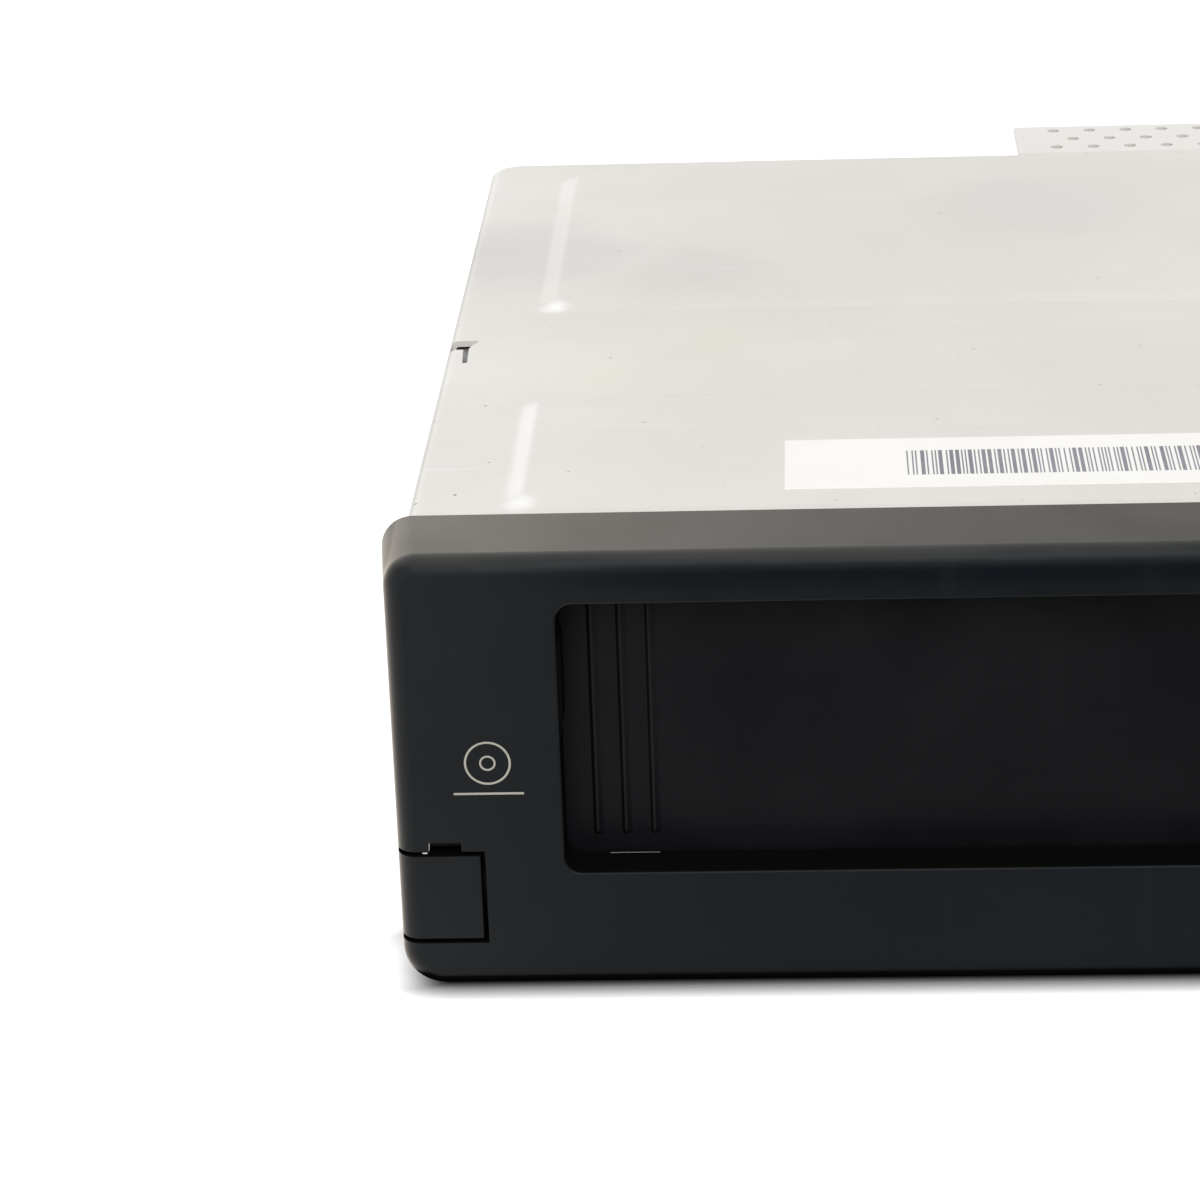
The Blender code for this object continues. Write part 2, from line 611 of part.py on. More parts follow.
def make_cover():
    bm = bmesh.new()
    levels = [(case_outline(0, CASE_FRONT), COVER_SKIRT)]
    for inset, depth in reversed(quarter_round(CASE_EDGE_ROUND)):
        levels.append((case_outline(inset, CASE_FRONT), CASE_TOP - depth))
    add_loft(bm, "Z", levels)
    cover = piece("top_cover", bm, CASE_GREY)
    bm = bmesh.new()
    add_prism(bm, "Z", case_outline(SHEET, CASE_FRONT - OVERRUN), COVER_SKIRT - OVERRUN, CASE_TOP - SHEET)
    cut(cover, bm)
    bm = bmesh.new()
    low = (TONGUE_LEFT, CASE_REAR - SHEET - CASE_EDGE_ROUND, CASE_TOP - SHEET)
    add_box(bm, low, (TONGUE_LEFT + TONGUE_WIDTH, TOTAL_DEPTH, CASE_TOP))
    join_on(cover, bm)
    first = CASE_FRONT + PANEL_FRONT_START
    second = first + PANEL_FRONT_LENGTH + PANEL_GAP
    panels = ((first, PANEL_FRONT_LENGTH), (second, CASE_REAR - PANEL_REAR_MARGIN - second))
    bm = bmesh.new()
    for start, length in panels:
        add_loft(bm, "Z", panel_levels(start, length, 0, CASE_TOP - PANEL_SINK))
    join_on(cover, bm)
    bm = bmesh.new()
    for start, length in panels:
        add_loft(bm, "Z", panel_levels(start, length, SHEET, CASE_TOP - SHEET - PANEL_SINK))
    cut(cover, bm)
    bm = bmesh.new()
    for row in range(VENT_ROWS):
        stagger = VENT_PITCH / 2 * (row % 2)
        first_x = TONGUE_LEFT + VENT_MARGIN + stagger
        count = int((TONGUE_WIDTH - 2 * VENT_MARGIN - stagger) / VENT_PITCH) + 1
        y = CASE_REAR + VENT_SETBACK + row * VENT_ROW_PITCH
        for hole in range(count):
            centre = (first_x + hole * VENT_PITCH, y)
            add_rod(bm, "Z", centre, VENT_RADIUS, CASE_TOP - OVERRUN, CASE_TOP + OVERRUN, HEX_SIDES)
    cut(cover, bm)
    bm = bmesh.new()
    start = BEZEL_DEPTH + HOOK_SLOT_START
    left = CASE_LEFT + HOOK_SLOT_INSET
    stem = left + HOOK_SLOT_WIDTH / 2
    bar = start + HOOK_SLOT_LENGTH - HOOK_SLOT_BAR
    outline = [(left, bar), (stem - SHEET / 2, bar), (stem - SHEET / 2, start), (stem + SHEET / 2, start)]
    outline += [(stem + SHEET / 2, bar), (left + HOOK_SLOT_WIDTH, bar)]
    outline += [(left + HOOK_SLOT_WIDTH, bar + HOOK_SLOT_BAR), (left, bar + HOOK_SLOT_BAR)]
    add_prism(bm, "Z", outline, CASE_TOP - 2 * SHEET, CASE_TOP + OVERRUN)
    cut(cover, bm)
    bm = bmesh.new()
    for side in (CASE_LEFT, CASE_RIGHT):
        for share in NUT_PLACE_SHARES:
            centre = (CASE_FRONT + share * CASE_LENGTH, NUT_HEIGHT)
            add_rod(bm, "X", centre, NUT_BORE, side - OVERRUN, side + OVERRUN, HOLE_SIDES)
        centre = (CASE_FRONT + DIAL_PLACE_SHARE * CASE_LENGTH, DIAL_HEIGHT)
        add_rod(bm, "X", centre, DIAL_RADIUS + RUN, side - OVERRUN, side + OVERRUN)
        for share in SCREW_PLACE_SHARES:
            centre = (CASE_FRONT + share * CASE_LENGTH, FOOT_HEIGHT + SCREW_LIFT)
            add_rod(bm, "X", centre, SCREW_SHANK_RADIUS + FIT, side - OVERRUN, side + OVERRUN, HOLE_SIDES)
    cut(cover, bm)


def make_chassis():
    bm = bmesh.new()
    rim = FOOT_HEIGHT + CHASSIS_WALL_HEIGHT
    add_prism(bm, "Z", case_outline(SHEET + FIT, CASE_FRONT), FOOT_HEIGHT, rim)
    chassis = piece("lower_chassis", bm, STEEL)
    bm = bmesh.new()
    inner = case_outline(SHEET + FIT + CHASSIS_SHEET, CASE_FRONT + CHASSIS_SHEET)
    add_prism(bm, "Z", inner, FLOOR_TOP, rim + OVERRUN)
    cut(chassis, bm)
    bm = bmesh.new()
    low = (CHASSIS_LEFT + CASE_CORNER, CHASSIS_REAR - CHASSIS_SHEET, FLOOR_TOP)
    add_box(bm, low, (CHASSIS_RIGHT - CASE_CORNER, CHASSIS_REAR, CASE_TOP - SHEET - FIT))
    join_on(chassis, bm)
    bm = bmesh.new()
    for x in (FOOT_INSET, BEZEL_WIDTH - FOOT_INSET):
        for y in (CASE_FRONT + FOOT_INSET, CASE_REAR - FOOT_INSET):
            rim = FOOT_RADIUS + FOOT_HEIGHT
            steps = ((FOOT_RADIUS, 0), (rim, FOOT_HEIGHT), (rim, FOOT_HEIGHT + CHASSIS_SHEET / 2))
            add_turned(bm, "Z", (x, y), steps)
    (left, front, board_bottom), (right, rear, board_top) = board_box()
    for x in (left + BOARD_MARGIN, right - BOARD_MARGIN):
        for y in (front + BOARD_MARGIN, rear - BOARD_MARGIN):
            root = FLOOR_TOP - CHASSIS_SHEET / 2
            add_rod(bm, "Z", (x, y), STANDOFF_RADIUS, root, board_bottom - FIT, HOLE_SIDES)
    join_on(chassis, bm)
    bm = bmesh.new()
    for side in (CHASSIS_LEFT, CHASSIS_RIGHT):
        for share in SCREW_PLACE_SHARES:
            centre = (CASE_FRONT + share * CASE_LENGTH, FOOT_HEIGHT + SCREW_LIFT)
            add_rod(bm, "X", centre, SCREW_SHANK_RADIUS + FIT, side - OVERRUN, side + OVERRUN, HOLE_SIDES)
    cut(chassis, bm)


def make_rear_housing():
    front = CASE_REAR + FIT
    top = CASE_TOP - SHEET - FIT
    bottom = top - HOUSING_DROP
    bm = bmesh.new()
    add_box(bm, (HOUSING_LEFT, front, bottom), (HOUSING_RIGHT, TOTAL_DEPTH - SHEET, top))
    housing = piece("rear_housing", bm, CASE_GREY)
    bm = bmesh.new()
    low = (HOUSING_LEFT + SHEET, front - OVERRUN, bottom + SHEET)
    add_box(bm, low, (HOUSING_RIGHT - SHEET, TOTAL_DEPTH - 2 * SHEET, top + OVERRUN))
    cut(housing, bm)
    left = HOUSING_LEFT + SOCKET_PLACE_SHARE * (HOUSING_RIGHT - HOUSING_LEFT) - SOCKET_WIDTH / 2
    right = left + SOCKET_WIDTH
    low_z = bottom + SOCKET_LIFT
    high_z = low_z + SOCKET_HEIGHT
    face = TOTAL_DEPTH - SHEET
    bm = bmesh.new()
    low = (left - FIT, face - 2 * SHEET, low_z - FIT)
    add_box(bm, low, (right + FIT, face + OVERRUN, high_z + FIT))
    cut(housing, bm)
    bm = bmesh.new()
    low = (left, face + SOCKET_PROUD - SOCKET_DEPTH - SOCKET_WALL, low_z)
    add_box(bm, low, (right, face + SOCKET_PROUD, high_z))
    socket = piece("rear_socket", bm, DARK_GREY)
    bm = bmesh.new()
    low = (left + SOCKET_WALL, face + SOCKET_PROUD - SOCKET_DEPTH, low_z + SOCKET_WALL)
    add_box(bm, low, (right - SOCKET_WALL, face + SOCKET_PROUD + OVERRUN, high_z - SOCKET_WALL))
    cut(socket, bm)
    bm = bmesh.new()
    pitch = (SOCKET_WIDTH - 2 * SOCKET_WALL) / (PIN_COUNT + 1)
    back = face + SOCKET_PROUD - SOCKET_DEPTH + FIT
    middle_z = (low_z + high_z) / 2
    rim = left + SOCKET_WALL + FIT
    low = (rim, back, middle_z - 2 * PIN_RADIUS)
    end = right - SOCKET_WALL - FIT
    add_box(bm, low, (end, back + SHEET, middle_z + 2 * PIN_RADIUS))
    pins = piece("socket_pins", bm, BRASS)
    bm = bmesh.new()
    for pin in range(PIN_COUNT):
        centre = (left + SOCKET_WALL + (pin + 1) * pitch, middle_z)
        add_rod(bm, "Y", centre, PIN_RADIUS, back + SHEET / 2, back + PIN_LENGTH, HEX_SIDES)
    join_on(pins, bm)


def make_label_and_fasteners():
    bm = bmesh.new()
    bottom = CASE_TOP + PANEL_RISE + LABEL_SEAT
    low = (LABEL_LEFT, BEZEL_DEPTH + LABEL_START, bottom)
    add_box(bm, low, (LABEL_LEFT + LABEL_WIDTH, low[1] + LABEL_LENGTH, bottom + LABEL_THICK))
    piece("product_label", bm, PAPER)
    number = 0
    for side, outwards in ((CASE_LEFT, -1), (CASE_RIGHT, 1)):
        for share in SCREW_PLACE_SHARES:
            number += 1
            bm = bmesh.new()
            centre = (CASE_FRONT + share * CASE_LENGTH, FOOT_HEIGHT + SCREW_LIFT)
            seat = side + outwards * LABEL_SEAT
            head = seat + outwards * SCREW_HEAD
            end = seat - outwards * SCREW_SHANK_LENGTH
            steps = ((SCREW_RADIUS, head), (SCREW_RADIUS, seat))
            steps += ((SCREW_SHANK_RADIUS, seat), (SCREW_SHANK_RADIUS, end))
            add_turned(bm, "X", centre, steps, HOLE_SIDES)
            piece(f"cover_screw_{number}", bm, STEEL)
    number = 0
    for side, inwards in ((CASE_LEFT + SHEET, 1), (CASE_RIGHT - SHEET, -1)):
        for share in NUT_PLACE_SHARES:
            number += 1
            centre = (CASE_FRONT + share * CASE_LENGTH, NUT_HEIGHT)
            start = side + inwards * FIT
            end = start + inwards * NUT_LENGTH
            bm = bmesh.new()
            add_turned(bm, "X", centre, ((NUT_RADIUS, start), (NUT_RADIUS, end)), HEX_SIDES)
            nut = piece(f"mounting_nut_{number}", bm, BRASS)
            bm = bmesh.new()
            add_rod(bm, "X", centre, NUT_BORE, start - inwards * OVERRUN, end - inwards * SHEET, HOLE_SIDES)
            cut(nut, bm)


def make_magazine():
    bm = bmesh.new()
    low = (MAGAZINE_LEFT, MAGAZINE_FRONT, MAGAZINE_BOTTOM)
    add_box(bm, low, (MAGAZINE_RIGHT, MAGAZINE_REAR, MAGAZINE_TOP))
    case = piece("magazine_case", bm, BLACK)
    bm = bmesh.new()
    wall = MAGAZINE_WALL
    low = (MAGAZINE_LEFT + wall, MAGAZINE_FRONT + wall, MAGAZINE_BOTTOM + MAGAZINE_PLATE)
    high = (MAGAZINE_RIGHT + OVERRUN, MAGAZINE_REAR - wall, MAGAZINE_TOP - MAGAZINE_PLATE)
    add_box(bm, low, high)
    cut(case, bm)
    for tray in range(TRAY_COUNT):
        bottom = LOWEST_TRAY + tray * TRAY_PITCH
        bm = bmesh.new()
        add_prism(bm, "Z", tray_outline(), bottom, bottom + TRAY_THICK)
        disc_tray = piece(f"disc_tray_{tray + 1}", bm, TRAY_GREY)
        bm = bmesh.new()
        middle_z = bottom + TRAY_THICK / 2
        radius = DISC_RADIUS + RUN
        add_rod(bm, "Z", (DISC_X, DISC_Y), radius, middle_z, bottom + TRAY_THICK + OVERRUN, DISC_SIDES)
        cut(disc_tray, bm)
    bm = bmesh.new()
    outer = MAGAZINE_LEFT - FIT - GUIDE_WALL
    inner = MAGAZINE_LEFT - FIT
    plate_top = MAGAZINE_BOTTOM - FIT
    plate_bottom = plate_top - GUIDE_PLATE
    leg = MAGAZINE_RIGHT - GUIDE_LEG
    foot = FLOOR_TOP + FIT
    outline = [(outer, foot), (inner, foot), (inner, plate_bottom), (leg, plate_bottom), (leg, foot)]
    outline += [(MAGAZINE_RIGHT, foot), (MAGAZINE_RIGHT, plate_top), (inner, plate_top)]
    outline += [(inner, GUIDE_RISE), (outer, GUIDE_RISE)]
    add_prism(bm, "Y", outline, MAGAZINE_FRONT, MAGAZINE_REAR)
    guide = piece("magazine_guide", bm, DARK_GREY)
    bm = bmesh.new()
    half = RIBBON_WIDTH / 2 + RUN
    low = (leg - OVERRUN, DISC_Y - half, foot - OVERRUN)
    add_box(bm, low, (MAGAZINE_RIGHT + OVERRUN, DISC_Y + half, plate_bottom))
    cut(guide, bm)


def tray_outline():
    """A plate with a slot from its right edge to the disc's middle, where the drive reaches in."""
    right = TRAY_LEFT + TRAY_WIDTH
    half = TRAY_SLOT / 2
    points = [(TRAY_LEFT, TRAY_REAR), (TRAY_LEFT, TRAY_FRONT), (right, TRAY_FRONT), (right, DISC_Y - half)]
    for step in range(ROUND_SIDES // 2 + 1):
        angle = -math.pi / 2 - math.pi * step / (ROUND_SIDES // 2)
        points.append((DISC_X + half * math.cos(angle), DISC_Y + half * math.sin(angle)))
    return points + [(right, DISC_Y + half), (right, TRAY_REAR)]


def make_mechanism_frame():
    bottom = MECH_FLOOR
    bm = bmesh.new()
    floor = bottom + MECH_SHEET
    top = bottom + MECH_HEIGHT
    outline = [(MECH_FRONT, bottom), (MECH_REAR, bottom), (MECH_REAR, top), (MECH_REAR - MECH_SHEET, top)]
    outline += [(MECH_REAR - MECH_SHEET, floor), (MECH_FRONT + MECH_SHEET, floor)]
    outline += [(MECH_FRONT + MECH_SHEET, top), (MECH_FRONT, top)]
    add_prism(bm, "X", outline, MECH_LEFT, MECH_RIGHT)
    frame = piece("mechanism_frame", bm, STEEL)
    bm = bmesh.new()
    for x in LIFT_PINS:
        slot = LIFT_PIN_RADIUS + FIT
        low_z = CARRIAGE_BOTTOM + CARRIAGE_SHEET / 2 - LIFT_TRAVEL
        for wall in (MECH_FRONT, MECH_REAR):
            low = (x - slot, wall - 2 * MECH_SHEET, low_z - slot - RUN)
            add_box(bm, low, (x + slot, wall + 2 * MECH_SHEET, low_z + LIFT_TRAVEL + slot + RUN))
    cut(frame, bm)
    number = 0
    for x in (MECH_LEFT + DAMPER_INSET, MECH_RIGHT - DAMPER_INSET):
        for y in (MECH_FRONT + DAMPER_INSET, MECH_REAR - DAMPER_INSET):
            number += 1
            bm = bmesh.new()
            waist = DAMPER_RADIUS * 3 / 4
            base = FLOOR_TOP + FIT
            head = MECH_FLOOR - FIT
            middle_z = (base + head) / 2
            steps = ((DAMPER_RADIUS, base), (waist, middle_z), (DAMPER_RADIUS, head))
            add_turned(bm, "Z", (x, y), steps, ROD_SIDES)
            piece(f"rubber_damper_{number}", bm, RUBBER)


def make_lift():
    middle_z = CARRIAGE_BOTTOM + CARRIAGE_SHEET / 2
    left = FIRST_LIFT_PIN - LIFT_TRAVEL - LIFT_PLATE_MARGIN
    right = SECOND_LIFT_PIN + LIFT_PLATE_MARGIN
    low_z = middle_z - LIFT_TRAVEL - LIFT_PLATE_MARGIN
    for name, start in (("lift_plate_front", LIFT_FRONT), ("lift_plate_rear", LIFT_REAR)):
        bm = bmesh.new()
        high = (right, start + LIFT_PLATE_THICK, middle_z + LIFT_PLATE_MARGIN)
        add_box(bm, (left, start, low_z), high)
        plate = piece(name, bm, STEEL)
        bm = bmesh.new()
        half = (LIFT_PIN_RADIUS + FIT) * math.sqrt(2)
        slot_low = middle_z - LIFT_TRAVEL
        for x in LIFT_PINS:
            slot_left = x - LIFT_TRAVEL
            outline = [(x + half, middle_z), (x, middle_z + half)]
            outline += [(slot_left - half, slot_low), (slot_left, slot_low - half)]
            add_prism(bm, "Y", outline, start - OVERRUN, start + LIFT_PLATE_THICK + OVERRUN)
        cut(plate, bm)
    motor_y = MECH_REAR + FIT + LIFT_MOTOR_RADIUS
    motor_z = FLOOR_TOP + FIT + LIFT_MOTOR_LIFT
    worm_right = MECH_RIGHT - LIFT_MOTOR_INSET - LIFT_MOTOR_LENGTH - 2 * FIT
    bm = bmesh.new()
    start = worm_right + 2 * FIT
    steps = ((SHAFT_RADIUS, start), (SHAFT_RADIUS, start + FIT))
    steps += ((LIFT_MOTOR_RADIUS, start + FIT), (LIFT_MOTOR_RADIUS, start + LIFT_MOTOR_LENGTH))
    add_turned(bm, "X", (motor_y, motor_z), steps)
    piece("lift_motor", bm, STEEL)
    bm = bmesh.new()
    size = (WORM_CORE, WORM_CREST, WORM_PITCH)
    worm_left = worm_right - WORM_LENGTH
    add_thread(bm, "X", (motor_y, motor_z), size, worm_left, worm_right, WORM_STARTS, 2 * HOLE_SIDES)
    piece("lift_worm", bm, BRASS, (worm_right, motor_y, motor_z))
    gear_z = motor_z + WORM_CREST + FIT + GEAR_TIP
    gear_x = worm_right - WORM_LENGTH / 2
    gear_y = motor_y - GEAR_THICK / 2
    bm = bmesh.new()
    add_prism(bm, "Y", gear_outline((gear_x, gear_z)), gear_y, gear_y + GEAR_THICK)
    gear = piece("lift_gear", bm, WHITE_NYLON, (gear_x, gear_y, gear_z))
    bm = bmesh.new()
    add_rod(bm, "Y", (gear_x, gear_z), 2 * SHAFT_RADIUS, MECH_REAR + FIT, gear_y + GEAR_THICK / 2, ROD_SIDES)
    join_on(gear, bm)


def gear_outline(centre):
    points = []
    for tooth in range(GEAR_TEETH):
        for part, radius in ((0.0, GEAR_ROOT), (0.3, GEAR_ROOT), (0.45, GEAR_TIP), (0.75, GEAR_TIP)):
            angle = 2 * math.pi * (tooth + part) / GEAR_TEETH
            points.append((centre[0] + radius * math.cos(angle), centre[1] + radius * math.sin(angle)))
    return points


def make_carriage():
    bm = bmesh.new()
    low = (CARRIAGE_LEFT, CARRIAGE_FRONT, CARRIAGE_BOTTOM)
    add_box(bm, low, (CARRIAGE_RIGHT, CARRIAGE_REAR, CARRIAGE_TOP))
    carriage = piece("carriage_plate", bm, STEEL)
    spindle = (SPINDLE_X, DISC_Y)
    rod_z = CARRIAGE_TOP + ROD_LIFT
    flange_y = sled_flange()
    screw_x = SPINDLE_X + TURNTABLE_RADIUS + RUN + SLED_MOTOR_RADIUS
    inside = CARRIAGE_TOP - CARRIAGE_SHEET / 2
    flange_top = rod_z + ROD_RADIUS + LUG_THICK
    flange_left = SPINDLE_X - PICKUP_WIDTH / 2
    flange_right = screw_x + SLED_MOTOR_RADIUS
    arm_z = TOP_TRAY + TRAY_THICK + ARM_LIFT
    lug_top = arm_z + 2 * ARM_PIN_RADIUS + LUG_THICK
    bm = bmesh.new()
    for y in (CARRIAGE_FRONT, flange_y):
        add_box(bm, (flange_left, y, inside), (flange_right, y + MECH_SHEET, flange_top))
    for side in (-1, 1):
        near = SPINDLE_X + side * (ARM_WIDTH / 2 + FIT)
        far = near + side * LUG_THICK
        low = (min(near, far), LUG_FRONT, inside)
        add_box(bm, low, (max(near, far), LUG_FRONT + LUG_WIDTH, lug_top))
    join_on(carriage, bm)
    bm = bmesh.new()
    middle_z = CARRIAGE_BOTTOM + CARRIAGE_SHEET / 2
    pin_ends = ((MECH_FRONT, CARRIAGE_FRONT + MECH_SHEET), (CARRIAGE_REAR - MECH_SHEET, MECH_REAR))
    for x in LIFT_PINS:
        for near, far in pin_ends:
            add_rod(bm, "Y", (x, middle_z), LIFT_PIN_RADIUS, near, far, ROD_SIDES)
    join_on(carriage, bm)
    bm = bmesh.new()
    add_rod(bm, "Z", spindle, 2 * SHAFT_RADIUS + FIT, CARRIAGE_BOTTOM - OVERRUN, CARRIAGE_TOP + OVERRUN)
    for x in rod_places():
        near = CARRIAGE_FRONT - OVERRUN
        add_rod(bm, "Y", (x, rod_z), ROD_RADIUS + FIT / 2, near, flange_y + OVERRUN, ROD_SIDES)
    near = CARRIAGE_FRONT + MECH_SHEET / 2
    add_rod(bm, "Y", (screw_x, rod_z), SCREW_CREST + FIT, near, flange_y + OVERRUN, ROD_SIDES)
    window = SLED_MOTOR_RADIUS + RUN
    window_front = flange_y + MECH_SHEET + FIT
    low = (screw_x - window, window_front, CARRIAGE_BOTTOM - OVERRUN)
    window_rear = window_front + 2 * FIT + SLED_MOTOR_LENGTH
    add_box(bm, low, (screw_x + window, window_rear, inside + CARRIAGE_SHEET))
    reach = ARM_WIDTH / 2 + LUG_THICK + OVERRUN
    hinge = (ARM_PIN_Y, arm_z)
    add_rod(bm, "X", hinge, ARM_PIN_RADIUS + FIT / 2, SPINDLE_X - reach, SPINDLE_X + reach, ROD_SIDES)
    cut(carriage, bm)
    bm = bmesh.new()
    motor_top = CARRIAGE_BOTTOM - FIT
    steps = ((SPINDLE_MOTOR_RADIUS, motor_top - SPINDLE_MOTOR_HEIGHT), (SPINDLE_MOTOR_RADIUS, motor_top))
    steps += ((2 * SHAFT_RADIUS, motor_top), (2 * SHAFT_RADIUS, CARRIAGE_TOP))
    add_turned(bm, "Z", spindle, steps)
    piece("spindle_motor", bm, STEEL)
    bm = bmesh.new()
    table = TOP_TRAY - TURNTABLE_GAP
    steps = ((SHAFT_RADIUS, CARRIAGE_TOP + FIT), (SHAFT_RADIUS, table - 3 * SHEET))
    steps += ((TURNTABLE_RADIUS, table - 3 * SHEET), (TURNTABLE_RADIUS, table - SHEET))
    steps += ((TURNTABLE_HUB_RADIUS, table - SHEET), (TURNTABLE_HUB_RADIUS - FIT, table))
    add_turned(bm, "Z", spindle, steps)
    piece("turntable", bm, DARK_GREY, (*spindle, CARRIAGE_TOP + FIT))
    make_clamp(arm_z)
    make_sled(rod_z, flange_y, screw_x)


def rod_places():
    return (SPINDLE_X - ROD_SPREAD / 2, SPINDLE_X + ROD_SPREAD / 2)


def sled_flange():
    return DISC_Y - TURNTABLE_RADIUS - 2 * FIT - MECH_SHEET


def make_clamp(arm_z):
    half = ARM_WIDTH / 2
    hinge = (ARM_PIN_Y, arm_z)
    bm = bmesh.new()
    low = (SPINDLE_X - half, DISC_Y - half, arm_z - ARM_THICK / 2)
    add_box(bm, low, (SPINDLE_X + half, ARM_PIN_Y, arm_z + ARM_THICK / 2))
    arm = piece("clamp_arm", bm, STEEL, (SPINDLE_X, *hinge))
    bm = bmesh.new()
    add_rod(bm, "X", hinge, 2 * ARM_PIN_RADIUS, SPINDLE_X - half, SPINDLE_X + half, ROD_SIDES)
    join_on(arm, bm)
    bm = bmesh.new()
    reach = half + OVERRUN
    add_rod(bm, "X", hinge, ARM_PIN_RADIUS + FIT / 2, SPINDLE_X - reach, SPINDLE_X + reach, ROD_SIDES)
    spindle = (SPINDLE_X, DISC_Y)
    add_rod(bm, "Z", spindle, 2 * SHAFT_RADIUS + FIT, arm_z - OVERRUN, arm_z + OVERRUN, ROD_SIDES)
    cut(arm, bm)
    bm = bmesh.new()
    reach = half + LUG_THICK + FIT
    add_rod(bm, "X", hinge, ARM_PIN_RADIUS, SPINDLE_X - reach, SPINDLE_X + reach, ROD_SIDES)
    piece("clamp_arm_pin", bm, STEEL)
    bm = bmesh.new()
    under = arm_z - ARM_THICK / 2 - FIT
    over = arm_z + ARM_THICK / 2 + FIT
    steps = ((PUCK_RADIUS, under - PUCK_HEIGHT), (PUCK_RADIUS, under), (2 * SHAFT_RADIUS, under))
    steps += ((2 * SHAFT_RADIUS, over), (3 * SHAFT_RADIUS, over), (3 * SHAFT_RADIUS, over + SHEET))
    add_turned(bm, "Z", spindle, steps)
    piece("clamp_puck", bm, WHITE_NYLON, (*spindle, under))


def make_sled(rod_z, flange_y, screw_x):
    rear = flange_y - FIT - RUN
    bottom = CARRIAGE_TOP + RUN
    half = PICKUP_WIDTH / 2
    bm = bmesh.new()
    low = (SPINDLE_X - half, rear - PICKUP_LENGTH, bottom)
    add_box(bm, low, (SPINDLE_X + half, rear, bottom + PICKUP_HEIGHT))
    pickup = piece("optical_pickup", bm, DARK_GREY)
    bm = bmesh.new()
    nut_front = rear - PICKUP_LENGTH / 2 - LUG_WIDTH
    low = (SPINDLE_X + half - LUG_THICK, nut_front, bottom)
    high = (screw_x + SCREW_CREST + LUG_THICK, nut_front + 2 * LUG_WIDTH, rod_z + SCREW_CREST + LUG_THICK)
    add_box(bm, low, high)
    join_on(pickup, bm)
    bm = bmesh.new()
    bores = [(x, ROD_RADIUS + FIT) for x in rod_places()]
    bores.append((screw_x, SCREW_CREST + FIT))
    for x, bore in bores:
        add_rod(bm, "Y", (x, rod_z), bore, rear - PICKUP_LENGTH - OVERRUN, rear + OVERRUN, ROD_SIDES)
    cut(pickup, bm)
    bm = bmesh.new()
    top = bottom + PICKUP_HEIGHT + FIT
    centre = (SPINDLE_X, rear - PICKUP_LENGTH / 2)
    add_rod(bm, "Z", centre, LENS_RADIUS, top, top + LENS_HEIGHT)
    piece("pickup_lens", bm, LENS_BLUE)
    for number, x in enumerate(rod_places()):
        bm = bmesh.new()
        add_rod(bm, "Y", (x, rod_z), ROD_RADIUS, CARRIAGE_FRONT, flange_y + MECH_SHEET, ROD_SIDES)
        piece(f"guide_rod_{number + 1}", bm, STEEL)
    bm = bmesh.new()
    start = CARRIAGE_FRONT + MECH_SHEET + FIT
    end = flange_y + MECH_SHEET / 2
    add_thread(bm, "Y", (screw_x, rod_z), (SCREW_CORE, SCREW_CREST, SCREW_PITCH), start, end)
    piece("lead_screw", bm, BRASS, (screw_x, start, rod_z))
    bm = bmesh.new()
    face = flange_y + MECH_SHEET + 2 * FIT
    steps = ((SLED_MOTOR_RADIUS, face), (SLED_MOTOR_RADIUS, face + SLED_MOTOR_LENGTH - FIT))
    add_turned(bm, "Y", (screw_x, rod_z), steps)
    piece("sled_motor", bm, STEEL)


def board_box():
    low = (MAGAZINE_LEFT + BOARD_MARGIN, MAGAZINE_FRONT + BOARD_MARGIN, FLOOR_TOP + BOARD_LIFT)
    high = (MAGAZINE_RIGHT - GUIDE_LEG - BOARD_MARGIN, MAGAZINE_REAR - BOARD_MARGIN, low[2] + BOARD_THICK)
    return low, high


def make_board():
    (left, front, bottom), (right, rear, top) = board_box()
    bm = bmesh.new()
    add_box(bm, (left, front, bottom), (right, rear, top))
    board = piece("main_board", bm, BOARD_GREEN)
    bm = bmesh.new()
    for x_share, y_share, width_share, length_share in CHIP_SHARES:
        x = left + x_share * (right - left)
        y = front + y_share * (rear - front)
        far_x = x + width_share * (right - left)
        far_y = y + length_share * (rear - front)
        add_box(bm, (x, y, top - BOARD_THICK / 2), (far_x, far_y, top + CHIP_HEIGHT))
    join_on(board, bm)
    bm = bmesh.new()
    start = right - 2 * BOARD_MARGIN
    end = MECH_LEFT + 2 * BOARD_MARGIN
    board_seat = top + FIT
    frame_seat = MECH_FLOOR + MECH_SHEET + FIT
    crown = max(board_seat, frame_seat) + BOARD_MARGIN
    upper = []
    lower = []
    for step in range(RIBBON_STEPS + 1):
        share = step / RIBBON_STEPS
        x = start + (end - start) * share
        rise = math.sin(math.pi * share) ** 2
        base = board_seat + (frame_seat - board_seat) * share
        z = base + (crown - base) * rise
        lower.append((x, z))
        upper.append((x, z + RIBBON_THICK))
    half = RIBBON_WIDTH / 2
    add_prism(bm, "Y", lower + upper[::-1], DISC_Y - half, DISC_Y + half)
    piece("ribbon_cable", bm, PAPER)


